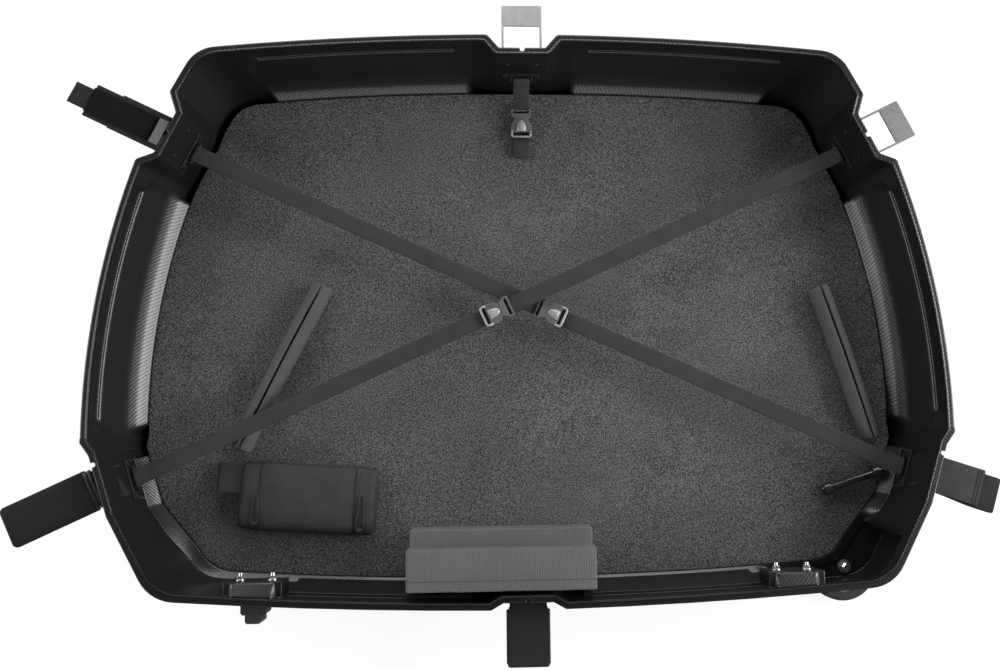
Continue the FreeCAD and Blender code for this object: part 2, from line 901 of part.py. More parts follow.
# Two bolt holes through the base, with room for the heads where the plate is thicker
def bore_for_bolts(body, sunk=None):
    sketch = sketch_on(body, "XZ_Plane")
    for x in ("-bolt_spacing / 2", "bolt_spacing / 2"):
        circle(sketch, "bolt_radius + running_gap", x)
    grow(body, "Pocket", sketch)
    if sunk is None:
        return
    sketch = sketch_on(body, "XZ_Plane")
    for x in ("-bolt_spacing / 2", "bolt_spacing / 2"):
        circle(sketch, "bolt_head_radius + skin_gap", x)
    sketch.AttachmentOffset = FreeCAD.Placement(Vec(0, 0, value("foot_base_thick")), still)
    pocket = body.newObject("PartDesign::Pocket", "Pocket")
    pocket.Profile = sketch
    pocket.Type = "ThroughAll"
    pocket.Reversed = True
    body.Tip = pocket
    doc.recompute()


def bolt_shape(place):
    base = value("foot_base_thick")
    head_thick = value("bolt_head_thick")
    inner = value("wall + nut_flange_thick + nut_height + bolt_tip")
    down = Vec(0, 1, 0)
    head = Part.makeCylinder(value("bolt_head_radius"), head_thick, Vec(0, -base - head_thick, 0), down)
    shank = Part.makeCylinder(value("bolt_radius"), base + inner, Vec(0, -base, 0), down)
    shape = head.fuse(shank)
    shape.Placement = place
    return shape


def nut_shape(place):
    wall = value("wall")
    inward = Vec(0, 1, 0)
    flange = Part.makeCylinder(value("nut_flange_radius"), value("nut_flange_thick"), Vec(0, wall, 0), inward)
    corners = []
    for turn in range(7):
        angle = math.pi / 3 * turn
        radius = value("nut_radius")
        spot = Vec(radius * math.cos(angle), wall + value("nut_flange_thick"), radius * math.sin(angle))
        corners.append(spot)
    hexagon = Part.Face(Part.makePolygon(corners)).extrude(inward * value("nut_height"))
    length = value("wall + nut_flange_thick + nut_height")
    hole = Part.makeCylinder(value("bolt_radius + running_gap"), length * 2, Vec(0, 0, 0), inward)
    shape = flange.fuse(hexagon).cut(hole)
    shape.Placement = place
    return shape


# Closure brackets: plate on the notch wall with a barrel, or two knuckles for a strap pin
def build_bracket(name):
    looped = name in loop_stations
    width = "barrel_length" if looped else "closure_width + closure_play * 2 + knuckle_width * 2"
    plate_width = "bracket_rivet_spread + rivet_head_radius * 3" if looped else width
    tall = "bracket_above + bracket_below"
    drop = "(bracket_above - bracket_below) / 2"
    plate = box((plate_width, "bracket_thick", tall), ("0", "bracket_thick / 2 + seat_gap", drop))
    web_reach = "hinge_reach - seat_gap"
    web = box((width, web_reach, "knuckle_radius * 1.6"), ("0", f"seat_gap + ({web_reach}) / 2", "0"))
    barrel = rod("knuckle_radius", width, ("0", "hinge_reach", "0"), "x")
    bore = "hinge_radius + running_gap" if looped else "hinge_radius"
    tools = [rod(bore, f"{width} + overrun", ("0", "hinge_reach", "0"), "x")]
    if not looped:
        gap = "closure_width + closure_play * 2"
        start = "bracket_thick + seat_gap"
        tools.append(box((gap, "overrun", tall), ("0", f"{start} + overrun / 2", "0")))
    for side in ("-", ""):
        spot = (f"{side}bracket_rivet_spread / 2", "0", "-bracket_rivet_drop")
        tools.append(rod("rivet_radius + running_gap", "hinge_reach", spot, "y"))
    frame = wall_frame(name, value("rim_level - hinge_drop"), False)
    finish("closure_bracket_" + name, less(joined([plate, web, barrel]), tools), frame)


# Pins of the closure straps, held in the knuckles
def build_strap_pins():
    length = value("closure_width + closure_play * 2 + knuckle_width * 2")
    pins = []
    for name in webbing_stations:
        pin = Part.makeCylinder(value("hinge_radius"), length, Vec(-length / 2, 0, 0), Vec(1, 0, 0))
        pin.Placement = hinge_frame(name).multiply(pin.Placement)
        pins.append(pin)
    solid_piece("strap_pins", Part.Compound(pins))


def rivet(length, start, way):
    shank = Part.makeCylinder(value("rivet_radius"), length, start, way)
    thick = value("rivet_head_thick")
    head = value("rivet_head_radius")
    near = Part.makeCylinder(head, thick, start - way * thick, way)
    far = Part.makeCylinder(head, thick, start + way * length, way)
    return shank.multiFuse([near, far])


def build_rivets():
    outer = []
    for name in places:
        frame = wall_frame(name, value("rim_level - hinge_drop"), False)
        length = value("wall") * math.cos(math.atan(wall_slope(name))) + value("bracket_thick + seat_gap")
        back = value("bracket_thick + seat_gap") - length
        for side in (-1, 1):
            x = side * value("bracket_rivet_spread / 2")
            shape = rivet(length, Vec(x, back, -value("bracket_rivet_drop")), Vec(0, 1, 0))
            shape.Placement = frame
            outer.append(shape)
    solid_piece("closure_rivets", Part.Compound(outer))
    inner = []
    for name in strap_stations:
        frame = anchor_frame(name)
        length = value("wall") * math.cos(math.atan(wall_slope(name))) + value("anchor_thick + seat_gap")
        back = value("anchor_thick + seat_gap") - length
        for side in (-1, 1):
            x = side * value("anchor_rivet_spread / 2")
            shape = rivet(length, Vec(x, back, 0), Vec(0, 1, 0))
            shape.Placement = frame
            inner.append(shape)
    solid_piece("anchor_rivets", Part.Compound(inner))


# Closure loops: flat plate and arms cut from one outline, on a hinge bar
def build_loop(name):
    half = "loop_width / 2"
    inner = "(loop_width / 2 - loop_arm)"
    side = [
        (half, "0"),
        (half, "loop_reach - loop_corner"),
        (f"{half} - loop_corner", "loop_reach"),
    ]
    window = [(f"-{inner}", "0"), (f"-{inner}", "loop_reach - loop_plate")]
    window += [(inner, "loop_reach - loop_plate"), (inner, "0")]
    body = new_body("loop")
    sketch = sketch_on(body, "XY_Plane")
    polygon(sketch, side + mirrored(side) + window)
    grow(body, "Pad", sketch, "loop_thick")
    bar = sketch_on(body, "YZ_Plane")
    circle(bar, "hinge_radius")
    grow(body, "Pad", bar, "loop_width")
    finish("closure_loop_" + name, body, hinge_frame(name))


# Closure straps: doubled webbing with an eye around its pin, wider beyond the neck where a flap is sewn on
def build_closure_strap(name, reach, width="closure_width"):
    eye = "hinge_radius + closure_eye + skin_gap"
    ring = rod(eye, "closure_width", ("0", "0", "0"), "x")
    webbing = box(("closure_width", reach, "closure_thick"), ("0", f"({reach}) / 2", "0"))
    pieces = [ring, webbing]
    if width != "closure_width":
        length = f"({reach} - closure_neck)"
        pieces.append(box((width, length, "closure_thick"), ("0", f"{reach} - {length} / 2", "0")))
    if name == "upper_left":
        tab_middle = f"{reach} + tab_length / 2"
        pieces.append(box(("tab_width", "tab_length", "tab_thick"), ("0", tab_middle, "0")))
    bore = rod("hinge_radius + skin_gap", "closure_width * 2", ("0", "0", "0"), "x")
    finish("closure_strap_" + name, less(joined(pieces), [bore]), hinge_frame(name))


def build_hook_pad():
    middle_y = "closure_reach_upper - hook_pad_length / 2"
    middle_z = "closure_thick / 2 + hook_pad_thick / 2"
    pad = box(("hook_pad_width", "hook_pad_length", "hook_pad_thick"), ("0", middle_y, middle_z))
    finish("hook_pad_upper_left", compound([pad]), hinge_frame("upper_left"))


# Strap anchors: plate on the inner face of a notch wall with a bar on two lugs
def build_anchor(name):
    plate = box(
        ("anchor_width", "anchor_thick", "anchor_height"),
        ("0", "anchor_thick / 2 + seat_gap", "0"),
    )
    lug_x = "webbing_width / 2 + anchor_lug"
    lug_long = "anchor_reach + anchor_bar_radius - seat_gap"
    pieces = [plate]
    for side in ("-", ""):
        spot = (f"{side}({lug_x})", f"seat_gap + ({lug_long}) / 2", "0")
        pieces.append(box(("anchor_lug", lug_long, "anchor_bar_radius * 2.5"), spot))
    bar = rod("anchor_bar_radius", "webbing_width + anchor_lug * 2", ("0", "anchor_reach", "0"), "x")
    pieces.append(bar)
    tools = []
    for side in ("-", ""):
        spot = (f"{side}anchor_rivet_spread / 2", "0", "0")
        tools.append(rod("rivet_radius + running_gap", "anchor_reach", spot, "y"))
    finish("strap_anchor_" + name, less(joined(pieces), tools), anchor_frame(name))


def anchor_bar(name):
    return anchor_frame(name).multVec(Vec(0, value("anchor_reach"), 0))


# A frame at a point with X towards another point and Y level
def run_frame(start, stop):
    along = (stop - start).normalize()
    across = up.cross(along).normalize()
    turn = FreeCAD.Rotation(along, across, along.cross(across), "ZXY")
    return FreeCAD.Placement(start, turn)


# One run of webbing with an eye around the bar at each end
def webbing(label, ends):
    (start, bar_way, bar), (stop, stop_way, stop_bar) = ends
    width = value("webbing_width")
    thick = value("webbing_thick")
    strip = Part.makeBox((stop - start).Length, width, thick, Vec(0, -width / 2, -thick / 2))
    strip.Placement = run_frame(start, stop)
    eyes = []
    holes = []
    for spot, way, radius in ((start, bar_way, bar), (stop, stop_way, stop_bar)):
        bore = radius + value("skin_gap")
        eyes.append(Part.makeCylinder(bore + thick, width, spot - way * (width / 2), way))
        holes.append(Part.makeCylinder(bore, width * 2, spot - way * width, way))
    shape = strip.multiFuse(eyes).cut(holes[0]).cut(holes[1])
    solid_piece(label, shape.removeSplitter())


def anchor_end(name):
    way = anchor_frame(name).Rotation.multVec(Vec(1, 0, 0))
    return anchor_bar(name), way, value("anchor_bar_radius")


# Cross strap from one anchor to another with its buckle beyond the crossing
def build_cross_strap(letter, first, second, sag, past):
    start = anchor_bar(first)
    stop = anchor_bar(second)
    crossing = start + (stop - start) * (start.x / (start.x - stop.x))
    flat = (stop - start).normalize()
    middle = crossing + flat * past - up * sag
    turn = run_frame(start, stop).Rotation
    frame = FreeCAD.Placement(middle, turn)
    build_buckle("cross_" + letter, frame)
    plug_end, socket_end = buckle_ends(frame)
    webbing(f"cross_strap_{letter}_upper", (anchor_end(first), plug_end))
    webbing(f"cross_strap_{letter}_lower", (anchor_end(second), socket_end))


def buckle_ends(frame):
    plug = frame.multVec(Vec(-value("plug_length + plug_arm - buckle_bar_inset"), 0, 0))
    socket = frame.multVec(Vec(value("socket_length + socket_arm - buckle_bar_inset"), 0, 0))
    way = frame.Rotation.multVec(Vec(0, 1, 0))
    bar = value("buckle_bar_radius")
    return (plug, way, bar), (socket, way, bar)


def mirrored(side, across=False):
    if across:
        return [(x, f"-({y})") for x, y in reversed(side)]
    return [(f"-({x})", y) for x, y in reversed(side)]


# Half of a buckle: flared head on a flatter frame that ends in a bar for the webbing
def buckle_half(label, way, head, length, arm):
    wide = "buckle_width / 2"
    inner = "webbing_width / 2 + buckle_gap * 1.5"
    start = "0" if way == "" else "buckle_gap"
    shoulder = [
        (f"{way}({start})", "mouth_width / 2"),
        (f"{way}({head})", wide),
    ]
    tail = [
        (f"{way}({length} + {arm} - buckle_corner)", wide),
        (f"{way}({length} + {arm})", f"{wide} - buckle_corner"),
        (f"{way}({length} + {arm})", inner),
        (f"{way}({length})", inner),
    ]
    body = new_body(label)
    thick = sketch_on(body, "XY_Plane")
    top = shoulder + ([(f"{way}({length})", wide)] if head != length else [])
    polygon(thick, top + mirrored(top, True))
    grow(body, "Pad", thick, "buckle_thick")
    flat = sketch_on(body, "XY_Plane")
    polygon(flat, shoulder + tail + mirrored(shoulder + tail, True))
    grow(body, "Pad", flat, "plug_thick")
    bar = sketch_on(body, "XZ_Plane")
    circle(bar, "buckle_bar_radius", f"{way}({length} + {arm} - buckle_bar_inset)")
    grow(body, "Pad", bar, f"({inner} + buckle_bar_radius) * 2")
    return body


# Side-release buckle: socket with windows, plug with guide, two prongs; X runs along the strap
def build_buckle(name, frame):
    room_tall = "buckle_thick - socket_wall * 2"
    window_end = "mouth_bridge + prong_window"
    mouth = "mouth_width / 2 - socket_wall"
    wide = "buckle_width / 2"
    room_deep = "guide_length + buckle_gap * 3"
    socket = buckle_half("socket", "", "mouth_flare", "socket_length", "socket_arm")
    side = [
        ("-socket_wall", mouth),
        ("mouth_bridge", mouth),
        ("mouth_bridge", f"{wide} + overrun"),
        (window_end, f"{wide} + overrun"),
        (window_end, f"{wide} - socket_wall"),
        (room_deep, f"{wide} - socket_wall"),
    ]
    room = sketch_on(socket, "XY_Plane")
    polygon(room, side + mirrored(side, True))
    grow(socket, "Pocket", room, room_tall)
    side = [
        ("mouth_flare / 2", "guide_width / 4"),
        ("mouth_flare", "guide_width"),
        ("socket_length - socket_wall", "guide_width * 1.6"),
    ]
    relief = sketch_on(socket, "XY_Plane")
    relief.AttachmentOffset = FreeCAD.Placement(up * value("buckle_thick / 2"), still)
    polygon(relief, side + mirrored(side, True))
    grow(socket, "Pocket", relief, "relief_depth", False)
    finish("buckle_socket_" + name, socket, frame)

    plug = buckle_half("plug", "-", "plug_length", "plug_length", "plug_arm")
    side = [
        ("-plug_length / 2", "guide_width / 2"),
        ("guide_length - guide_width / 4", "guide_width / 2"),
        ("guide_length", "guide_width / 4"),
    ]
    guide = sketch_on(plug, "XY_Plane")
    polygon(guide, side + mirrored(side, True))
    grow(plug, "Pad", guide, f"{room_tall} - buckle_gap * 2")
    finish("buckle_plug_" + name, plug, frame)

    inner = "guide_width / 2 + prong_space"
    barb = "mouth_bridge + buckle_gap"
    end = f"{window_end} - buckle_gap"
    reach = f"{wide} - buckle_gap"
    for sign, word in (("-", "right"), ("", "left")):
        side = [
            ("0", inner),
            (f"{end} - prong_thick", inner),
            (end, f"{inner} + prong_thick"),
            (f"{end} - prong_thick", reach),
            (f"{barb} + prong_thick", reach),
            (barb, f"{reach} - prong_thick"),
            (barb, f"{inner} + prong_thick"),
            ("0", f"{inner} + prong_thick"),
        ]
        prong = new_body("prong")
        sketch = sketch_on(prong, "XY_Plane")
        polygon(sketch, [(x, f"{sign}({y})") for x, y in side])
        grow(prong, "Pad", sketch, f"{room_tall} - buckle_gap * 2")
        finish(f"buckle_prong_{name}_{word}", prong, frame)


# Top strap: hangs from the top anchor to the mat, with a buckle and a folded loop
def build_top_strap():
    start = anchor_bar("top")
    thick = value("webbing_thick")
    under = mat_top + value("skin_gap") + thick
    level = under + value("skin_gap + buckle_thick / 2")
    plug_y = start.y - value("top_strap_drop")
    along = Vec(0, -1, 0)
    across = Vec(1, 0, 0)
    turn = FreeCAD.Rotation(along, across, up, "ZXY")
    reach = value("plug_length + plug_arm - buckle_bar_inset")
    frame = FreeCAD.Placement(Vec(start.x, plug_y - reach, level), turn)
    build_buckle("top", frame)
    plug_end, socket_end = buckle_ends(frame)
    socket_bar = socket_end[0]
    webbing("top_strap_upper", (anchor_end("top"), plug_end))
    fold = value("top_strap_fold")
    bore = value("buckle_bar_radius + skin_gap")
    low = under - thick / 2
    points = [
        Vec(0, socket_bar.y - bore - thick / 2, level),
        Vec(0, socket_bar.y - fold + (level - low) / 2, level),
        Vec(0, socket_bar.y - fold, (level + low) / 2),
        Vec(0, socket_bar.y - fold + (level - low) / 2, low),
        Vec(0, plug_y - reach, low),
    ]
    width = value("webbing_width")
    pieces = []
    for first, second in zip(points, points[1:]):
        length = (second - first).Length
        strip = Part.makeBox(length + thick, width, thick, Vec(-thick / 2, -width / 2, -thick / 2))
        strip.Placement = run_frame(first, second)
        pieces.append(strip)
    side = Vec(1, 0, 0)
    eye_spot = Vec(-width / 2, socket_bar.y, level)
    pieces.append(Part.makeCylinder(bore + thick, width, eye_spot, side))
    hole = Part.makeCylinder(bore, width * 2, eye_spot - side * width / 2, side)
    shape = pieces[0].multiFuse(pieces[1:]).cut(hole).removeSplitter()
    solid_piece("top_strap_lower", shape, FreeCAD.Placement(Vec(start.x, 0, 0), still))


# Loose packing pieces on the mat
def on_mat(shares, turn, rise):
    x = shares[0] * value("case_width / 2")
    y = shares[1] * value("case_height / 2")
    spin = FreeCAD.Rotation(up, turn)
    return FreeCAD.Placement(Vec(x, y, mat_top + value("skin_gap") + rise), spin)


def build_kit():
    for label, length, shares, turn in (
        ("tube_sleeve_rear", "sleeve_rear_length", sleeve_rear_shares, sleeve_rear_turn),
        ("tube_sleeve_fork", "sleeve_fork_length", sleeve_fork_shares, sleeve_fork_turn),
    ):
        tube = rod("sleeve_radius", length, ("0", "0", "0"), "x")
        bore = rod("sleeve_bore", f"{length} * 2", ("0", "0", "0"), "x")
        slit = box((f"{length} * 2", "sleeve_slit", "sleeve_radius * 2"), ("0", "0", "sleeve_radius"))
        finish(label, less(tube, [bore, slit]), on_mat(shares, turn, value("sleeve_radius")))

    bag = Part.makeBox(value("bag_length"), value("bag_width"), value("bag_thick"))
    bag.translate(Vec(-value("bag_length / 2"), -value("bag_width / 2"), 0))
    bag = bag.makeFillet(value("bag_edge"), bag.Edges)
    solid_piece("chain_bag", bag, on_mat(bag_shares, bag_turn, 0))

    shaft = rod("fork_spacer_radius", "fork_spacer_length", ("0", "0", "0"), "x")
    pieces = [shaft]
    for side in ("-", ""):
        spot = (f"{side}(fork_spacer_length / 2 - fork_spacer_end)", "0", "0")
        pieces.append(rod("fork_spacer_end_radius", "fork_spacer_end", spot, "x"))
    place = on_mat(fork_spacer_shares, fork_spacer_turn, value("fork_spacer_end_radius"))
    finish("fork_spacer", joined(pieces), place)


build_shell()
build_mat()
build_block()
build_wheel()
build_axle()
build_feet()
for station in places:
    build_bracket(station)
build_strap_pins()
build_rivets()
for station in loop_stations:
    build_loop(station)
build_closure_strap("upper_left", "closure_reach_upper")
build_closure_strap("lower_left", "closure_reach_left", "closure_wide")
build_closure_strap("lower_right", "closure_reach_right")
build_closure_strap("bottom", "closure_reach_bottom", "closure_wide")
build_hook_pad()
for station in strap_stations:
    build_anchor(station)
build_cross_strap("a", "upper_left", "lower_right", value("strap_a_sag"), value("buckle_offset"))
build_cross_strap("b", "upper_right", "lower_left", 0, value("buckle_offset"))
build_top_strap()
build_kit()

doc.recompute()
for piece in doc.Objects:
    if "Invalid" in piece.State or "Error" in piece.State:
        raise RuntimeError(f"{piece.Name} {piece.Label} {piece.State}")
for piece in nodes:
    if piece.Shape.isNull() or not piece.Shape.isValid() or not piece.Shape.Solids:
        raise RuntimeError(f"{piece.Label} has no valid solid")
    piece.Shape.exportStep(f"parts/{piece.Label}.step")
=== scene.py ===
import bmesh
import bpy
import json
import math
import numpy as np
from mathutils import Matrix, Vector
from mathutils.bvhtree import BVHTree


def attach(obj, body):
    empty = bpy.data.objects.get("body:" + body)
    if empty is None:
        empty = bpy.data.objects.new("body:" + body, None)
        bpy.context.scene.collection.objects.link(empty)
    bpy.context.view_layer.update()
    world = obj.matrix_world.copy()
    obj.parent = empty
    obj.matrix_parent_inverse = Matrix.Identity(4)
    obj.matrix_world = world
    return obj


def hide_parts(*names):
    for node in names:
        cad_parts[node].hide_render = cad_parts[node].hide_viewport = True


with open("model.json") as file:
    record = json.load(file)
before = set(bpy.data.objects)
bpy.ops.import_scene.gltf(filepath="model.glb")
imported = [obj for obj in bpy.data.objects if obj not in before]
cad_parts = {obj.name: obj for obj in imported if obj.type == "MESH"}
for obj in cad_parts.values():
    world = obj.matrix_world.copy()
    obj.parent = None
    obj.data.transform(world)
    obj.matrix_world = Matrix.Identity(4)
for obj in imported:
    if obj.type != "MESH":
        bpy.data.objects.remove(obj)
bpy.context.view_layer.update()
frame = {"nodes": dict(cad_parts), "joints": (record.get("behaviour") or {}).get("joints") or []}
nodes = frame["nodes"]
scene = bpy.context.scene
scene.view_settings.view_transform = "Standard"
print("frame loaded:", len(nodes), "nodes")

# lengths below are in millimetres, as in the drawing, and become metres when a mesh is made
milli = 0.001
upAxis = np.array([0.0, 0.0, 1.0])


# mesh helpers
def smoothStep(low, high, t):
    s = np.clip((t - low) / (high - low), 0, 1)
    return s * s * (3 - 2 * s)


def putMesh(name, points, faces, uvs, smooth=True):
    mesh = bpy.data.meshes.new(name)
    mesh.from_pydata((np.asarray(points) * milli).tolist(), [], faces)
    layer = mesh.uv_layers.new(name="weave")
    layer.data.foreach_set("uv", (np.asarray(uvs) * milli).astype(np.float32).ravel())
    mesh.polygons.foreach_set("use_smooth", np.full(len(mesh.polygons), smooth))
    mesh.update()
    piece = bpy.data.objects.new(name, mesh)
    scene.collection.objects.link(piece)
    return piece


# a grid of rows by columns becomes quads: columns always close round, rows where asked, and caps close the
# first and last row; the faces are turned outwards by the sign of the volume that they hold
def gridPiece(name, grid, uv, wrapRows=False, caps=False):
    rows, cols = grid.shape[:2]
    i = np.arange(rows if wrapRows else rows - 1)
    ii, jj = np.meshgrid(i, np.arange(cols), indexing="ij")
    nextRow, nextCol = (ii + 1) % rows, (jj + 1) % cols
    quads = np.stack([ii * cols + jj, nextRow * cols + jj, nextRow * cols + nextCol, ii * cols + nextCol], -1)
    corners = np.stack([uv[ii, jj], uv[ii + 1, jj], uv[ii + 1, jj + 1], uv[ii, jj + 1]], 2)
    quads, corners = quads.reshape(-1, 4), corners.reshape(-1, 4, 2)
    points = grid.reshape(-1, 3)
    middle = points.mean(axis=0)
    a, b, c, d = (points[quads[:, k]] - middle for k in range(4))
    volume = (a * np.cross(b, c)).sum() + (a * np.cross(c, d)).sum()
    if volume < 0:
        quads, corners = quads[:, ::-1], corners[:, ::-1]
    faces = quads.tolist()
    loops = corners.reshape(-1, 2)
    if caps:
        first = list(range(cols))
        last = list(range((rows - 1) * cols, rows * cols))
        faces += [first if volume > 0 else first[::-1], last[::-1] if volume > 0 else last]
        for cap in faces[-2:]:
            loops = np.concatenate([loops, points[cap][:, :2] - points[cap][:, :2].mean(axis=0)])
    return putMesh(name, points, faces, loops)


def uvGrid(rowLengths, colLengths):
    return np.stack(np.meshgrid(rowLengths, colLengths, indexing="ij"), -1)


def lengthsAlong(points, closed=False):
    pts = np.concatenate([points, points[:1]]) if closed else points
    steps = np.linalg.norm(np.diff(pts, axis=0), axis=1)
    return np.concatenate([[0.0], np.cumsum(steps)])


def unit(v):
    return np.asarray(v, float) / np.linalg.norm(v)


def unitRows(rows):
    return rows / np.linalg.norm(rows, axis=1, keepdims=True)


# headings of a line at its points, from the points on either side; a closed line runs on to its first point
def headings(line, closed=False):
    if closed:
        return unitRows(np.roll(line, -1, axis=0) - np.roll(line, 1, axis=0))
    return unitRows(np.gradient(line, axis=0))


# quadratic curve of three points: (1 - t) squared, 2 t (1 - t) and t squared are their weights
def quadratic(a, b, c, t):
    return (1 - t) ** 2 * a + 2 * t * (1 - t) * b + t ** 2 * c


# polygon with each corner turned into a curve that starts and ends at that radius from it
def roundedPolygon(corners, radius, steps=5):
    pts = np.asarray(corners, float)
    toBefore = np.roll(pts, 1, axis=0) - pts
    toAfter = np.roll(pts, -1, axis=0) - pts
    shorter = np.minimum(np.linalg.norm(toBefore, axis=1), np.linalg.norm(toAfter, axis=1))
    reach = np.minimum(radius, 0.45 * shorter)[:, None]  # neighbouring curves don't meet
    start = pts + unitRows(toBefore) * reach
    stop = pts + unitRows(toAfter) * reach
    t = np.linspace(0, 1, steps)[None, :, None]
    return quadratic(start[:, None], pts[:, None], stop[:, None], t).reshape(-1, 2)


# half circle from the upper layer of a fold to the lower one, with or without its two ends
def foldArc(steps, ends=True):
    a = np.linspace(math.pi / 2, -math.pi / 2, steps)
    a = a if ends else a[1:-1]
    return np.stack([np.cos(a), np.sin(a)], -1)


# small circle carried along a line: side and lifted are its two axes at every point
def roundTube(name, line, side, lifted, radius, steps, uvStep, run):
    t = np.linspace(0, 2 * math.pi, steps, endpoint=False)[None, :, None]
    grid = line[:, None] + radius * (np.cos(t) * side[:, None] + np.sin(t) * lifted[:, None])
    return gridPiece(name, grid, uvGrid(run, np.arange(steps + 1) * uvStep), caps=True)


# materials
def newMaterial(name, roughness, metallic=0.0, specular=0.5):
    material = bpy.data.materials.new(name)
    material.use_nodes = True
    tree = material.node_tree
    tree.nodes.clear()
    out = tree.nodes.new("ShaderNodeOutputMaterial")
    skin = tree.nodes.new("ShaderNodeBsdfPrincipled")
    tree.links.new(skin.outputs["BSDF"], out.inputs["Surface"])
    skin.inputs["Roughness"].default_value = roughness
    skin.inputs["Metallic"].default_value = metallic
    skin.inputs["Specular IOR Level"].default_value = specular
    return material, tree, skin


def addNode(tree, kind, settings=None, values=None):
    node = tree.nodes.new("ShaderNode" + kind)
    for key, setting in (settings or {}).items():
        setattr(node, key, setting)
    for key, number in (values or {}).items():
        if isinstance(number, bpy.types.NodeSocket):
            tree.links.new(number, node.inputs[key])
        else:
            node.inputs[key].default_value = number
    return node


def objectPoint(tree, scale=(1, 1, 1), source="Object"):
    coords = addNode(tree, "TexCoord")
    mapping = addNode(tree, "Mapping", None, {"Vector": coords.outputs[source], "Scale": scale})
    return mapping.outputs["Vector"]


def mathNode(tree, operation, a, b=None, c=None):
    values = {0: a}
    if b is not None:
        values[1] = b
    if c is not None:
        values[2] = c
    return addNode(tree, "Math", {"operation": operation}, values).outputs[0]


# weighted sum of two values
def weighted(tree, a, weightA, b, weightB):
    return mathNode(tree, "MULTIPLY_ADD", a, weightA, mathNode(tree, "MULTIPLY", b, weightB))


def noiseAt(tree, point, scale, detail=3.0, rough=0.55):
    values = {"Vector": point, "Scale": scale, "Detail": detail, "Roughness": rough}
    return addNode(tree, "TexNoise", None, values).outputs["Fac"]


bandUnit = {"X": 0.314, "Y": 0.314, "DIAGONAL": 0.444}  # length of one wave at a scale of 1


def waveAt(tree, point, pitch, direction):
    settings = {"wave_type": "BANDS", "bands_direction": direction, "wave_profile": "SIN"}
    scale = bandUnit[direction] / pitch / milli
    return addNode(tree, "TexWave", settings, {"Vector": point, "Scale": scale}).outputs["Fac"]


def rampBetween(tree, fac, dark, light, low=0.3, high=0.7):
    ramp = addNode(tree, "ValToRGB", None, {"Fac": fac})
    ramp.color_ramp.elements[0].position = low
    ramp.color_ramp.elements[1].position = high
    ramp.color_ramp.elements[0].color = (*dark, 1)
    ramp.color_ramp.elements[1].color = (*light, 1)
    return ramp.outputs["Color"]


def spread(tree, fac, low, high):
    return addNode(tree, "MapRange", None, {"Value": fac, "To Min": low, "To Max": high}).outputs["Result"]


# colour and roughness of a skin from two chains of nodes
def paint(tree, skin, colour, roughness):
    tree.links.new(colour, skin.inputs["Base Color"])
    tree.links.new(roughness, skin.inputs["Roughness"])


# relief from a height, over edges that are softened by a bevel of that radius
def addBump(tree, skin, height, strength, distance, bevel=0.0):
    values = {"Height": height, "Strength": strength, "Distance": distance}
    if bevel:
        edge = addNode(tree, "Bevel", {"samples": 6}, {"Radius": bevel})
        values["Normal"] = edge.outputs["Normal"]
    bump = addNode(tree, "Bump", None, values)
    tree.links.new(bump.outputs["Normal"], skin.inputs["Normal"])


def grey(level, warm=0.0):
    return (level * (1 + warm), level, level * (1 - warm))


# speckled surface: grain noise over a slow cloud noise sets colour, and the grain sets roughness and bump
def speckled(name, dark, light, grain, roughness, bump, distance):
    material, tree, skin = newMaterial(name, roughness, specular=0.12)
    point = objectPoint(tree)
    fine = noiseAt(tree, point, grain, 1.0, 0.5)
    slow = noiseAt(tree, point, 9.0)
    mixed = weighted(tree, slow, 0.1, fine, 0.9)
    paint(tree, skin, rampBetween(tree, mixed, grey(dark), grey(light), 0.40, 0.66),
          spread(tree, fine, roughness - 0.08, min(1.0, roughness + 0.08)))
    addBump(tree, skin, fine, bump, distance)
    return material


# woven band: ribs across the band and finer threads along it, both from the band's own map
def woven(name, dark, light, ribPitch, threadPitch, bump, roughness=0.82):
    material, tree, skin = newMaterial(name, roughness, specular=0.15)
    point = objectPoint(tree, source="UV")
    ribs = waveAt(tree, point, ribPitch, "X")
    threads = waveAt(tree, point, threadPitch, "Y")
    slow = noiseAt(tree, objectPoint(tree), 35.0)
    weave = weighted(tree, ribs, 0.6, threads, 0.4)
    tone = weighted(tree, slow, 0.5, weave, 0.5)
    paint(tree, skin, rampBetween(tree, tone, grey(dark), grey(light), 0.2, 0.8),
          spread(tree, weave, roughness - 0.1, roughness + 0.08))
    addBump(tree, skin, weave, bump, 0.0004)
    return material


# moulded twill: diagonal ribs on the surface's own map, crossed by a finer and weaker set, over a slow cloud
twill = {"pitch": 4.6, "cross": 2.3, "bevel": 0.0020,
         "dark": (0.0012, 0.0012, 0.0013), "light": (0.0080, 0.0081, 0.0084)}


def twillPlastic():
    material, tree, skin = newMaterial("twillPlastic", 0.4)
    one = waveAt(tree, objectPoint(tree, source="UV"), twill["pitch"], "DIAGONAL")
    two = waveAt(tree, objectPoint(tree, (-1, 1, 1), "UV"), twill["cross"], "DIAGONAL")
    weave = weighted(tree, one, 0.75, two, 0.25)
    slow = noiseAt(tree, objectPoint(tree), 6.0, 4.0)
    tone = weighted(tree, slow, 0.3, weave, 0.7)
    paint(tree, skin, rampBetween(tree, tone, twill["dark"], twill["light"], 0.15, 0.85),
          spread(tree, weave, 0.42, 0.26))
    addBump(tree, skin, weave, 0.30, 0.0004, twill["bevel"])
    return material


# moulded plastic: a fine grain in roughness and bump, and a slow cloud in the colour
def glossPlastic(name, level, roughness):
    material, tree, skin = newMaterial(name, roughness)
    point = objectPoint(tree)
    grain = noiseAt(tree, point, 1400.0, 2.0)
    slow = noiseAt(tree, point, 40.0)
    paint(tree, skin, rampBetween(tree, slow, grey(level * 0.75), grey(level * 1.25)),
          spread(tree, grain, roughness - 0.06, roughness + 0.08))
    addBump(tree, skin, grain, 0.08, 0.0002, 0.0009)
    return material


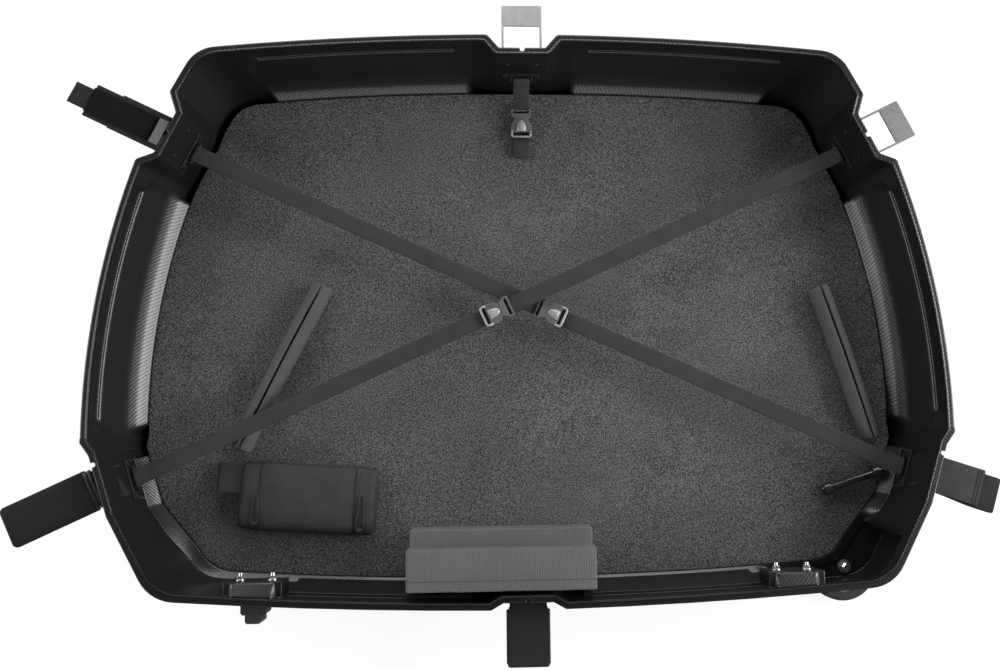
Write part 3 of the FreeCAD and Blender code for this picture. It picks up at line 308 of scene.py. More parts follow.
# brushed metal: noise drawn out into streaks by its scale along each axis, over a slow cloud
def brushedMetal(name, level, roughness, streak):
    material, tree, skin = newMaterial(name, roughness, metallic=1.0)
    lines = noiseAt(tree, objectPoint(tree, streak), 60.0, 4.0)
    slow = noiseAt(tree, objectPoint(tree), 25.0, 2.0)
    tone = weighted(tree, slow, 0.4, lines, 0.6)
    paint(tree, skin, rampBetween(tree, tone, grey(level * 0.86), grey(level * 1.05)),
          spread(tree, lines, roughness - 0.1, roughness + 0.1))
    addBump(tree, skin, lines, 0.12, 0.0002, 0.0006)
    return material


# plain weave on object coordinates: two crossed waves over a slow noise, with wrinkles in the bump
def clothFinish(name, dark, light, pitch):
    material, tree, skin = newMaterial(name, 0.62, specular=0.3)
    point = objectPoint(tree)
    weave = mathNode(tree, "MULTIPLY", waveAt(tree, point, pitch, "X"), waveAt(tree, point, pitch, "Y"))
    tone = weighted(tree, noiseAt(tree, point, 30.0, 4.0), 0.6, weave, 0.4)
    paint(tree, skin, rampBetween(tree, tone, grey(dark), grey(light), 0.2, 0.75),
          spread(tree, weave, 0.50, 0.70))
    wrinkle = weighted(tree, noiseAt(tree, point, 32.0, 4.0), 4.0, weave, 0.3)
    addBump(tree, skin, wrinkle, 0.6, 0.0024)
    return material


# foam in two slabs: hatch lines, grain and a slow cloud, darker along the glued joint between the slabs
slabFoam = {"hatch": 2.4, "jointY": -0.385, "jointHalf": 0.0003, "jointFade": 0.0012, "jointTone": 0.35}


def blockFoam():
    material, tree, skin = newMaterial("blockFoam", 0.93, specular=0.15)
    point = objectPoint(tree)
    hatch = waveAt(tree, point, slabFoam["hatch"], "X")
    fine = noiseAt(tree, point, 600.0, 2.0, 0.6)
    slow = noiseAt(tree, point, 14.0)
    tone = mathNode(tree, "MULTIPLY_ADD", hatch, 0.3, weighted(tree, fine, 0.5, slow, 0.2))
    place = addNode(tree, "SeparateXYZ", None, {"Vector": point}).outputs["Y"]
    away = mathNode(tree, "ABSOLUTE", mathNode(tree, "SUBTRACT", place, slabFoam["jointY"]))
    fade = {"From Min": slabFoam["jointHalf"], "From Max": slabFoam["jointFade"]}
    tones = {"To Min": slabFoam["jointTone"], "To Max": 1.0}
    joint = addNode(tree, "MapRange", None, {"Value": away, **fade, **tones})
    tone = mathNode(tree, "MULTIPLY", tone, joint.outputs["Result"])
    colour = rampBetween(tree, tone, grey(0.050, 0.03), grey(0.112, 0.03), 0.25, 0.75)
    tree.links.new(colour, skin.inputs["Base Color"])
    addBump(tree, skin, mathNode(tree, "ADD", hatch, fine), 0.35, 0.0008)
    return material


finishes = {
    "shell": twillPlastic(),
    "matFoam": speckled("matFoam", 0.015, 0.118, 660.0, 0.95, 0.5, 0.0014),
    "sleeveFoam": speckled("sleeveFoam", 0.046, 0.066, 900.0, 0.72, 0.2, 0.0004),
    "tyreRubber": speckled("tyreRubber", 0.020, 0.036, 900.0, 0.75, 0.2, 0.0003),
    "blockFoam": blockFoam(),
    "hookTape": speckled("hookTape", 0.0015, 0.005, 1300.0, 0.97, 0.8, 0.0010),
    "wheelPlastic": glossPlastic("wheelPlastic", 0.14, 0.40),
    "blackGloss": glossPlastic("blackGloss", 0.012, 0.26),
    # the buckles' black plastic in a grey copy: painted sheen for the glossy reflection on the buckle bodies
    "buckleGlossPaintedSheen": glossPlastic("buckleGlossPaintedSheen", 0.075, 0.27),
    # a lighter copy of black gloss for the dome and frame on the buckles: painted highlight
    "buckleEdgePaintedHighlight": glossPlastic("buckleEdgePaintedHighlight", 0.20, 0.22),
    "blackMetal": glossPlastic("blackMetal", 0.004, 0.50),
    "blackRivet": glossPlastic("blackRivet", 0.004, 0.42),
    "steel": brushedMetal("steel", 0.62, 0.30, (1, 1, 8)),
    "loopMetal": brushedMetal("loopMetal", 0.38, 0.52, (8, 1, 1)),
    # a darker copy of the loop metal for the upper right loop: painted shade, where that loop stands in less
    # light
    "loopMetalPaintedShade": brushedMetal("loopMetalPaintedShade", 0.20, 0.52, (1, 8, 1)),
    "innerWebbing": woven("innerWebbing", 0.017, 0.033, 1.6, 0.9, 0.5),
    "closureWebbing": woven("closureWebbing", 0.007, 0.016, 2.1, 1.1, 0.6),
    "flapVinyl": woven("flapVinyl", 0.003, 0.006, 0.8, 0.8, 0.2, 0.60),
    "paleWebbing": woven("paleWebbing", 0.09, 0.15, 2.1, 1.1, 0.5),
    "bagCloth": clothFinish("bagCloth", 0.009, 0.024, 1.0),
    "bagSeam": clothFinish("bagSeam", 0.002, 0.005, 1.0),
    "bagCord": clothFinish("bagCord", 0.010, 0.022, 0.7),
}


def dress(piece, finish):
    piece.data.materials.clear()
    piece.data.materials.append(finishes[finish])


# finish, body, replaced node and material slot of a new piece
def settle(piece, finish, node=None, body="case"):
    dress(piece, finish)
    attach(piece, body)
    if node:
        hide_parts(node)
    return piece


nodeFinish = {
    "base_shell": "shell",
    "wheel_tyre": "tyreRubber",
    "corner_foot": "tyreRubber",
    "wheel_core": "wheelPlastic",
    "skid_plate": "blackMetal",
    "fork_spacer": "blackGloss",
    # painted shade: the upper right loop gets the darker copy of the loop metal
    "closure_loop_upper_right": "loopMetalPaintedShade",
}
namedFinish = {
    # painted sheen: the buckle bodies get the grey copy of black gloss
    "buckle_": "buckleGlossPaintedSheen",
    "closure_bracket": "blackMetal",
    "strap_anchor": "blackMetal",
    "closure_loop": "loopMetal",
    "closure_rivets": "blackRivet",
    "anchor_rivets": "blackRivet",
    "strap_pins": "blackRivet",
}
for nodeName, node in nodes.items():
    starts = [finish for start, finish in namedFinish.items() if nodeName.startswith(start)]
    dress(node, nodeFinish.get(nodeName, starts[0] if starts else "steel"))
print("node finishes set")

# outline of the case half, clockwise from the top notch, seen from the open side
case = {
    "half": (635.0, 428.0),
    "rim": 145.0,
    "chamferRise": 10.0,
    "flange": 8.0,
    "wall": 3.0,
    "notchFloor": 35.5,
    "notchMouth": 53.5,
    "runs": {"top": 38.0, "side": 43.0, "bottom": 18.0},
    "notchDepth": {"top": 21.0, "upper": 20.0, "lower": 14.0, "bottom": 10.0},
    "radius": {"upper": 53.0, "lower": 60.0},
    "sag": {"top": 5.0, "side": 18.0, "bottom": 4.0},
    "upperCorner": (0.7717, 0.9416),
    "upperNotch": ((0.8283, 0.7827), (0.8126, 0.7079), (0.8598, 0.5643), (0.9008, 0.5421)),
    "lowerNotch": ((1.0, -0.4299), (0.9795, -0.4720), (0.9354, -0.6729)),
    "lowerCorner": (0.8362, -0.9463),
    "sampleStep": 5.0,
}


def caseCorners():
    halfX, halfY = case["half"]

    def corner(x, y, notch=None, radius=0.0, bulge=0.0, run="side"):
        return {"at": np.array([x, y]), "notch": notch, "radius": radius, "bulge": bulge, "run": run}

    def shared(shares, **more):
        return corner(halfX * shares[0], halfY * shares[1], **more)

    sag = case["sag"]
    up, low = case["upperNotch"], case["lowerNotch"]
    right = [
        corner(case["notchFloor"], halfY - case["notchDepth"]["top"], "top", run="top"),
        corner(case["notchMouth"], halfY, bulge=sag["top"], run="top"),
        shared(case["upperCorner"], radius=case["radius"]["upper"]),
        shared(up[0]),
        shared(up[1], notch="upper"),
        shared(up[2], notch="upper"),
        shared(up[3], bulge=sag["side"]),
        shared(low[0]),
        shared(low[1], notch="lower"),
        shared(low[2], notch="lower"),
        shared(case["lowerCorner"], radius=case["radius"]["lower"], bulge=sag["bottom"], run="bottom"),
        corner(case["notchMouth"], -halfY, run="bottom"),
        corner(case["notchFloor"], -halfY + case["notchDepth"]["bottom"], "bottom", run="bottom"),
    ]
    left = []
    for index in reversed(range(len(right))):
        before = right[index - 1] if index else {"bulge": 0.0, "run": "top"}
        mirrored = {**right[index], "at": right[index]["at"] * (-1, 1)}
        left.append({**mirrored, "bulge": before["bulge"], "run": before["run"]})
    return right + left


caseCornerList = caseCorners()


# outward normal of an edge; at the ends of a bowed edge it leans by the bow's angle there
def edgeNormal(start, stop, bulge=0.0, end=0):
    chord = stop - start
    lean = end * 2 * math.atan2(2 * bulge, np.hypot(*chord))
    angle = math.atan2(chord[1], chord[0]) + math.pi / 2 + lean
    return np.array([math.cos(angle), math.sin(angle)])


# a corner moves in along the normals of its two edges by their insets, or straight in where a notch fades
def movedCorners(inset, sunk):
    corners = caseCornerList
    count = len(corners)
    moved = []
    for index, here in enumerate(corners):
        before, after = corners[index - 1], corners[(index + 1) % count]
        depthIn = inset + sunk * case["runs"][before["run"]]
        depthOut = inset + sunk * case["runs"][here["run"]]
        if sunk and here["notch"]:
            follows = after["notch"] == here["notch"]
            ends = (here, after) if follows else (before, here)
            normal = edgeNormal(ends[0]["at"], ends[1]["at"])
            run = case["runs"][ends[0]["run"]] - case["notchDepth"][here["notch"]]
            moved.append((here["at"] - normal * (inset + sunk * run), normal, normal))
            continue
        if sunk and before["notch"]:
            before = corners[index - 3]
        if sunk and after["notch"]:
            after = corners[(index + 3) % count]
        normalIn = edgeNormal(before["at"], here["at"], before["bulge"], -1)
        normalOut = edgeNormal(here["at"], after["at"], here["bulge"], 1)
        across = normalIn @ normalOut
        if abs(depthIn - depthOut) < 0.1:
            shift = (normalIn + normalOut) * (depthIn / (1 + across))
        else:
            shift = normalIn * (depthIn - depthOut * across) / (1 - across * across)
            shift = shift + normalOut * (depthOut - depthIn * across) / (1 - across * across)
        moved.append((here["at"] - shift, normalIn, normalOut))
    return moved


# points round the case at one inset: circle arcs at the rounded corners, bowed or straight edges between,
# taken at the same shares of each edge whatever the inset, so that rings can be joined row by row
def caseRing(inset, sunk):
    moved = movedCorners(inset, sunk)
    ends, arcs = [], []
    for corner, (point, normalIn, normalOut) in zip(caseCornerList, moved):
        if not corner["radius"]:
            ends.append((point, point))
            arcs.append(None)
            continue
        turn = math.acos(np.clip(normalIn @ normalOut, -1, 1))
        outward = unit(normalIn + normalOut)
        middle = point - outward * corner["radius"] / math.cos(turn / 2)
        ends.append((middle + normalIn * corner["radius"], middle + normalOut * corner["radius"]))
        arcs.append((middle, math.atan2(outward[1], outward[0]), turn))
    pieces = []
    for index, corner in enumerate(caseCornerList):
        if arcs[index] is not None:
            middle, angle, turn = arcs[index]
            t = angle + turn / 2 - turn * (np.arange(12) + 0.5) / 12
            pieces.append(middle + corner["radius"] * np.stack([np.cos(t), np.sin(t)], -1))
        start, stop = ends[index][1], ends[(index + 1) % len(ends)][0]
        t = ringShares[index][:, None]
        whole = np.hypot(*(moved[(index + 1) % len(ends)][0] - moved[index][0]))
        bulge = corner["bulge"] * (np.hypot(*(stop - start)) / whole) ** 2
        pieces.append(start + (stop - start) * t + edgeNormal(start, stop) * 4 * bulge * t * (1 - t))
    return np.concatenate(pieces)


# shares of each edge at which its points are taken, closer together on the floor of a notch
def edgeShares():
    found = []
    for index, corner in enumerate(caseCornerList):
        after = caseCornerList[(index + 1) % len(caseCornerList)]
        length = np.hypot(*(after["at"] - corner["at"]))
        fine = 1.4 if corner["notch"] and corner["notch"] == after["notch"] else case["sampleStep"]
        count = max(6, int(round(length / fine)))
        found.append((np.arange(count) + 0.5) / count)
    return found


ringShares = edgeShares()


# middle and outward normal of a closure station on the rim, and the slope of the wall below it
def stationFrame(name):
    pairs = {"top": (-1, 0), "upper_right": (4, 5), "lower_right": (8, 9), "bottom": (12, 13)}
    side = name.replace("left", "right")
    first, second = (caseCornerList[k] for k in pairs[side])
    normal = edgeNormal(first["at"], second["at"])
    middle = (first["at"] + second["at"]) / 2
    if name.endswith("left"):
        normal, middle = normal * (-1, 1), middle * (-1, 1)
    run = case["runs"][first["run"]] - case["notchDepth"][first["notch"]]
    return middle, normal, run / (case["rim"] - case["chamferRise"])


# share of the way from the rim ring (0) to the floor ring (1) at one height
def fallAt(level):
    return (case["rim"] - level) / (case["rim"] - case["chamferRise"])


# wall of the case at one height: each point lies on the straight line from the rim ring to the floor ring
def wallRing(inset, level):
    fall = np.broadcast_to(fallAt(level), len(caseRing(0, 0)))[:, None]
    return ringAt(caseRing(inset, 0) * (1 - fall) + caseRing(inset, 1) * fall, level)


# floor mat: the floor's outline carried up a rounded edge, then shrunk to the middle
floorMat = {"inset": 17.0, "heel": 20.6, "low": 3.1, "heelRise": 8.0, "top": 37.0, "edge": 1.6, "wave": 0.5,
            "wheel": (497.0, -388.0), "hollow": (64.5, 33.6)}


# slow swells of the mat's top: a product of two waves and a slanting one, taken down from the full height
def matHeight(xy):
    x, y = xy[..., 0], xy[..., 1]
    swell = np.sin(x / 83 + 0.7) * np.sin(y / 61) + 0.6 * np.sin(x / 37 - y / 45)
    return floorMat["top"] - floorMat["wave"] * (1 + swell / 1.6) / 2


def ringAt(xy, level):
    return np.column_stack([xy, np.broadcast_to(level, len(xy))])


def makeMat():
    edge, top = floorMat["edge"], floorMat["top"]
    turn = np.linspace(0, math.pi / 2, 5)
    outer = [(floorMat["inset"], floorMat["low"] + floorMat["heelRise"])]
    outer += [(floorMat["inset"] + edge * (1 - math.cos(a)), top - edge + edge * math.sin(a)) for a in turn]
    rows = [ringAt(caseRing(inset, 1), level) for inset, level in outer]
    inner = caseRing(floorMat["inset"] + edge, 1)
    for share in np.linspace(1, 0.02, 40)[1:]:
        xy = inner * share
        blend = smoothStep(1.0, 0.94, np.full(len(xy), share))
        rows.append(ringAt(xy, top + (matHeight(xy) - top) * blend))
    under = caseRing(floorMat["heel"], 1)
    radius, ceiling = floorMat["hollow"]
    below = []
    for share in np.linspace(1, 0.02, 25):
        xy = under * share
        near = np.hypot(*(xy - floorMat["wheel"]).T) < radius
        below.append(ringAt(xy, np.where(near, ceiling, floorMat["low"])))
    grid = np.array(below[::-1] + rows)
    uv = uvGrid(np.arange(len(grid) + 1) * 10.0, np.linspace(0, 3600, len(inner) + 1))
    piece = gridPiece("floorMat", grid, uv, caps=True)
    settle(piece, "matFoam", "floor_mat")


makeMat()
print("floor mat made")

# upper part of the moulded shell: a profile of inset, fall towards the floor ring and height, carried round
# the rim, and panels that blend in a second profile with a ledge and a flared foot
shellForm = {
    "seam": -178.0,
    "ledge": 118.0,
    "round": 15.0,
    "soft": 3.0,
    "side": (-172.0, 214.0),
    "top": (83.5, 430.0),
    "cut": (3.5, 6.0),
    "footBend": 56.0,
    "mat": (16.7, 36.6),
    "hidden": (3.0, 0.4),
    "ringGap": 20.0,
    "sideBeyond": 430.0,
    "topBeyond": 250.0,
}


def blendCurve(a, b, c, count):
    return quadratic(np.array(a), np.array(b), np.array(c), np.linspace(0, 1, count)[:, None]).tolist()


# profile points are (inset, fall, height); plain wall and panel wall have the same number of points, from the
# floor up: foot on the mat, hollow flare, straight face, ledge and the slope to the rim
def wallProfiles(wall):
    level, bend, ledge = shellForm["mat"][1], shellForm["footBend"], shellForm["ledge"]
    thick = case["flange"] + case["wall"] - wall
    foot = (shellForm["mat"][0], 1.0, level)
    face = lambda z: (10.1 - thick - 1.9 * (z - bend) / (ledge - bend), fallAt(z), z)
    knee = (12.2 - thick, 0.725, bend - 4.5)
    panel = [(wall, 1.0, case["chamferRise"]), (foot[0] - thick, 1.0, level - 8)]
    panel += blendCurve((foot[0] - thick, 1.0, level), (15.4 - thick, 0.90, level + 4.4),
                        (13.9 - thick, 0.80, level + 9.8), 5)
    panel += blendCurve((13.4 - thick, 0.785, level + 10.9), knee, face(bend + 8), 6)
    panel += [face(z) for z in np.linspace(bend + 16, ledge - 7, 5)]
    panel += blendCurve(face(ledge - 4), face(ledge - 0.4), (6.2 - thick, fallAt(ledge), ledge), 5)
    panel += blendCurve((5.6 - thick, fallAt(ledge + 0.2), ledge + 0.2),
                        (4.9 - thick, fallAt(ledge + 0.6), ledge + 0.5),
                        (5.2 - thick, fallAt(ledge + 3), ledge + 3), 4)
    for s in (0.35, 0.7, 1.0):
        z = ledge + 3 + (23 - thick) * s
        panel.append((5.2 - thick + (thick + 5.8) * s, fallAt(z), z))
    panel = np.array(panel)
    plain = np.stack([np.full(len(panel), wall), fallAt(panel[:, 2]), panel[:, 2]], -1)
    plain[-1], panel[-1] = (wall, 0.005, 144.3), (wall, 0.005, 144.3)
    return plain, panel


def rimProfile():
    tongue = [(11, 147.0), (10.6, 147.5), (9.4, 147.5), (9.0, 147.1), (9.0, 145.3), (8.6, 145.0)]
    flange = [(6.5, 145.0), (4.0, 145.0), (2.0, 145.0), (1.2, 144.9), (0.5, 144.5), (0.1, 143.8), (0, 143.0)]
    lip = [(0, 139.0), (0, 135.2), (0.3, 134.3), (1.0, 134.0), (2.0, 134.0), (2.7, 134.3), (3.0, 135.2)]
    lip += [(3.0, 140.5), (3.5, 141.4), (7.2, 141.5)]
    return np.array([(inset, 0.0, level) for inset, level in tongue + flange + lip])


# share of the panel's profile at each point of the rim and each height: 1 between the ends of a panel, whose
# upper corners draw in as quarter circles, and 0 outside
def shellShares(rim, heights):
    depth = shellForm["ledge"] - heights
    radius = shellForm["round"]
    near = np.clip(depth, 0, radius)
    draw = radius - np.sqrt(np.maximum(radius ** 2 - (radius - near) ** 2, 0))
    draw = np.where(depth < 0, radius, draw)[None, :]
    soft = shellForm["soft"]

    def inside(t, ends):
        t = t[:, None]
        first, last = ends[0] + draw, ends[1] - draw
        return smoothStep(first - soft, first + soft, t) * smoothStep(last + soft, last - soft, t)

    x, y = np.abs(rim[:, 0]), rim[:, 1]
    side = inside(y, shellForm["side"]) * (x > shellForm["sideBeyond"])[:, None]
    top = inside(x, shellForm["top"]) * (y > shellForm["topBeyond"])[:, None]
    return np.maximum(side, top)[..., None]


# small round-ended cut in the rim at the middle of a notch
def rimCut(rim):
    half, depth = shellForm["cut"]
    cut = np.zeros(len(rim))
    for name in ("top", "upper_left", "upper_right"):
        middle, normal = stationFrame(name)[:2]
        along = (rim - middle) @ np.array([normal[1], -normal[0]])
        away = np.abs((rim - middle) @ normal)
        reach = depth - half + np.sqrt(np.maximum(half ** 2 - along ** 2, 0))
        cut = np.where((np.abs(along) < half) & (away < 3), reach, cut)
    return cut[:, None]


# the last section run on a little and drawn in along its own normals
def hiddenEnd(end, beside):
    runOn, drawIn = shellForm["hidden"]
    flat = end[:, [0, 2]]
    slope = headings(flat, True)
    normal = np.stack([slope[:, 1], -slope[:, 0]], -1)
    after = np.roll(flat, -1, axis=0)
    area = (flat[:, 0] * after[:, 1] - flat[:, 1] * after[:, 0]).sum()
    drawn = flat - normal * drawIn * np.sign(area)
    lean = (end[:, :1] - beside[:, :1]) / np.abs(end[:, 1:2] - beside[:, 1:2])
    return np.column_stack([drawn[:, :1] + runOn * lean, end[:, 1:2] - runOn, drawn[:, 1:]])


def makeUpperShell():
    rings = [[caseRing(inset, sunk) for inset in (0.0, shellForm["ringGap"])] for sunk in (0, 1)]
    rim = rings[0][0]
    above = rim[:, 1] > shellForm["seam"]
    turn = int(np.argmin(above))
    last = len(above) - int(np.argmin(above[::-1]))
    order = np.concatenate([np.arange(last - 1, len(rim)), np.arange(0, turn + 1)])
    rings = [[ring[order][:, None] for ring in pair] for pair in rings]
    rim = rim[order]
    inner, innerPanel = wallProfiles(case["flange"] + case["wall"])
    outer, outerPanel = wallProfiles(case["flange"])
    edge = rimProfile()
    plain = np.concatenate([inner, edge, outer[::-1]])
    panel = np.concatenate([innerPanel, edge, outerPanel[::-1]])
    form = plain + (panel - plain) * shellShares(rim, panel[:, 2])
    inset, fall, level = form[..., :1], form[..., 1:2], form[..., 2:]
    row = np.arange(len(plain)) - len(inner)
    rimRows = (row >= 6) & (row < len(edge))  # the flange and the lip, not the six points of the tongue
    cut = rimCut(rim)
    apart = np.linspace(0.4, 0, len(plain))[None, :]  # keeps the rows of the cut from meeting
    inset = np.where(rimRows[None, :, None], np.maximum(inset, ((cut + apart) * (cut > 0))[..., None]), inset)
    share = inset / shellForm["ringGap"]
    top, bottom = (pair[0] + (pair[1] - pair[0]) * share for pair in rings)
    grid = np.concatenate([(1 - fall) * top + fall * bottom, level], -1)
    for end, beside in ((0, 1), (-1, -2)):
        t = (shellForm["seam"] - grid[beside, :, 1]) / (grid[end, :, 1] - grid[beside, :, 1])
        grid[end] = grid[beside] + (grid[end] - grid[beside]) * t[:, None]
    grid = np.concatenate([hiddenEnd(grid[0], grid[1])[None], grid, hiddenEnd(grid[-1], grid[-2])[None]])
    run = lengthsAlong(rim)
    run = np.concatenate([[-5.0], run, [run[-1] + 5, run[-1] + 6]])
    section = np.stack([plain[:, 0] + case["runs"]["side"] * plain[:, 1], plain[:, 2]], -1)
    uv = uvGrid(run, lengthsAlong(section, True))
    piece = gridPiece("upperShell", grid, uv, caps=True)
    settle(piece, "shell", "base_shell")


# closes the cut wall: one strip where it stands on the floor, and its section at each seam
def closeCut(work, seam, base):
    near = 0.00002
    edges = [e for e in work.edges if e.is_boundary]
    points = {v for e in edges for v in e.verts}
    corners = [v for v in points if abs(v.co.y - seam) < near and abs(v.co.z - base) < near]
    corners.sort(key=lambda v: v.co.x)
    across = [work.edges.new(corners[:2]), work.edges.new(corners[2:])]
    flat = [e for e in edges if all(abs(v.co.z - base) < near for v in e.verts)]
    upright = [e for e in edges if all(abs(v.co.y - seam) < near for v in e.verts)]
    for chosen, way in ((flat + across, Vector((0, 0, 1))), (upright + across, Vector((0, 1, 0)))):
        made = bmesh.ops.triangle_fill(work, use_beauty=True, use_dissolve=False, edges=chosen, normal=way)
        for face in (f for f in made["geom"] if isinstance(f, bmesh.types.BMFace)):
            face.normal_update()
            if face.normal.dot(way) < 0:
                face.normal_flip()


# lower part of the shell: the drawn solid below the seam, and its floor all over
def makeLowerShell():
    mesh = nodes["base_shell"].data.copy()
    mesh.name = "lowerShell"
    work = bmesh.new()
    work.from_mesh(mesh)
    bmesh.ops.remove_doubles(work, verts=work.verts, dist=0.00001)
    seam, base = shellForm["seam"] * milli, case["chamferRise"] * milli
    for place, normal in (((0, seam, 0), (0, 1, 0)), ((0, 0, base), (0, 0, 1))):
        whole = work.verts[:] + work.edges[:] + work.faces[:]
        bmesh.ops.bisect_plane(work, geom=whole, plane_co=place, plane_no=normal, dist=0.000001)
    gone = [f for f in work.faces if f.calc_center_median().y > seam and f.calc_center_median().z > base]
    bmesh.ops.delete(work, geom=gone, context="FACES")
    closeCut(work, seam, base)
    layer = work.loops.layers.uv.new("weave")
    for face in work.faces:
        n = face.normal
        level = math.hypot(n.x, n.y)
        for loop in face.loops:
            x, y, z = loop.vert.co
            loop[layer].uv = (x, y) if level < 0.6 else ((x * n.y - y * n.x) / level, z / level)
    work.to_mesh(mesh)
    work.free()
    piece = bpy.data.objects.new("lowerShell", mesh)
    scene.collection.objects.link(piece)
    settle(piece, "shell", "base_shell")


makeUpperShell()
makeLowerShell()
print("shell made")

# foot of the lower wall: a hollow quadratic curve from the wall down to the edge of the mat, low at the wheel
wallFoot = {"sideHigh": 58.0, "lowHigh": 45.0, "turnY": (-320.0, -395.0), "wheelFade": (112.0, 88.0),
            "wallInset": 10.2, "bendInset": 14.6, "matInset": 16.7, "low": 36.0, "back": 24.0, "end": -215.0}


def makeFoot():
    low = wallFoot["low"]
    rim = caseRing(0, 0)
    drop = wallFoot["lowHigh"] - wallFoot["sideHigh"]
    high = wallFoot["sideHigh"] + drop * smoothStep(*wallFoot["turnY"], rim[:, 1])
    near = smoothStep(*wallFoot["wheelFade"], np.hypot(*(rim - floorMat["wheel"]).T))
    high = high + (low - 1.5 - high) * near
    bend = low + (high - low) * 0.5
    start, middle = wallRing(wallFoot["wallInset"], high), wallRing(wallFoot["bendInset"], bend)
    stop = ringAt(caseRing(wallFoot["matInset"], 1), low)
    rows = [quadratic(start, middle, stop, t) for t in np.linspace(0, 1, 13)]
    rows.append(ringAt(caseRing(wallFoot["matInset"], 1), wallFoot["back"]))
    rows.append(wallRing(wallFoot["wallInset"], wallFoot["back"]))
    below = rim[:, 1] < wallFoot["end"]
    grid = np.swapaxes(np.array(rows)[:, below], 0, 1)
    uv = uvGrid(np.append(lengthsAlong(start[below]), 3600.0), np.arange(grid.shape[1] + 1) * 3.0)
    piece = gridPiece("wallFoot", grid, uv, caps=True)
    settle(piece, "shell")


makeFoot()
print("wall foot made")

# caps of the two foot pads: a slope from the tongue to the pad's inner edge, drawn down at its ends
footPads = {"middle": 391.0, "front": -383.3, "backInset": 11.3, "halfFront": 31.0, "halfBack": 34.0,
            "level": 135.0, "low": 134.4, "lip": 0.3, "high": 146.4, "end": 6.0}


def makePadCap(name, side):
    size = footPads
    ring = caseRing(size["backInset"], 0)
    lower = ring[ring[:, 1] < size["front"]]
    lower = lower[np.argsort(lower[:, 0])]
    t = np.linspace(-1, 1, 31)[:, None]
    s = np.append(np.linspace(0, 1, 9), [1.0, 0.0])[None, :]
    x = side * size["middle"] + t * (size["halfFront"] + (size["halfBack"] - size["halfFront"]) * s)
    y = size["front"] + (np.interp(x, lower[:, 0], lower[:, 1]) - size["front"]) * s
    full = smoothStep(0, size["end"], (1 - np.abs(t)) * size["halfBack"])
    z = size["level"] + size["lip"] + (size["high"] - size["level"] - size["lip"]) * s * full
    z[:, -2:] = size["low"]
    grid = np.stack([x, y, z], -1)
    uv = uvGrid(np.append(t[:, 0], 1.1) * size["halfBack"], lengthsAlong(grid[15, :, 1:], True))
    piece = gridPiece(name, grid, uv, caps=True)
    settle(piece, "shell")


makePadCap("padCap_left", -1)
makePadCap("padCap_right", 1)
print("pad caps made")

# chainring block: stepped profile with soft corners, carried along the case's length
chainBlock = {"middle": -38.0, "width": 270.0, "soft": 3.0, "low": 37.3, "top": 160.0, "shelf": 102.0,
              "slot": 22.0, "clear": 7.0, "front": 60.0, "back": 84.0, "notch": 21.0}


def makeBlock():
    depth = case["notchDepth"]["bottom"]
    base = -(case["half"][1] - depth - case["flange"] - case["wall"] - chainBlock["clear"])
    foot = base + (case["runs"]["bottom"] - depth) * fallAt(chainBlock["low"])
    front, back, notch = (base + chainBlock[key] for key in ("front", "back", "notch"))
    low, top, shelf = chainBlock["low"], chainBlock["top"], chainBlock["shelf"]
    high = shelf + chainBlock["slot"]
    corners = [(foot, low), (base, top), (front, top), (front, high), (notch, high), (notch, shelf)]
    corners += [(back, shelf), (back, low)]
    profile = roundedPolygon(corners, chainBlock["soft"], 5)
    tangent = headings(profile, True)
    inward = np.stack([tangent[:, 1], -tangent[:, 0]], -1)
    half = chainBlock["width"] / 2
    soft = chainBlock["soft"]
    turn = np.linspace(0, math.pi / 2, 5)
    ends = [(-half + soft * (1 - math.sin(a)), soft * (1 - math.cos(a))) for a in turn[::-1]]
    between = [(x, 0.0) for x in np.linspace(-half + soft, half - soft, 24)[1:-1]]
    stations = ends + between + [(-x, shrink) for x, shrink in ends[::-1]]
    rows = []
    for x, shrink in stations:
        yz = profile + inward * shrink
        wave = 0.21 * np.sin(x / 19 + yz[:, 1] / 23) + 0.15 * np.sin(x / 7.3)  # sawn faces aren't quite flat
        across = yz[:, 0] + wave * inward[:, 0]
        rows.append(np.column_stack([np.full(len(yz), chainBlock["middle"] + x), across, yz[:, 1]]))
    grid = np.array(rows)
    uv = uvGrid(np.arange(len(grid) + 1) * 11.0, lengthsAlong(profile, True))
    piece = gridPiece("chainringBlock", grid, uv, caps=True)
    settle(piece, "blockFoam", "chainring_block")


makeBlock()
print("chainring block made")

# tube sleeves: slit ring profile carried along a slightly bowed line on the mat, at shares of the half sizes
tubeSleeves = {
    "tube_sleeve_rear": {"at": (-0.583, -0.160), "turn": 63.9, "length": 276.0, "bow": 2.0},
    "tube_sleeve_fork": {"at": (0.795, -0.165), "turn": 106.8, "length": 250.0, "bow": -1.5},
}
sleeveRing = {"outer": 16.8, "inner": 11.0, "slit": 1.6, "floor": 37.4}


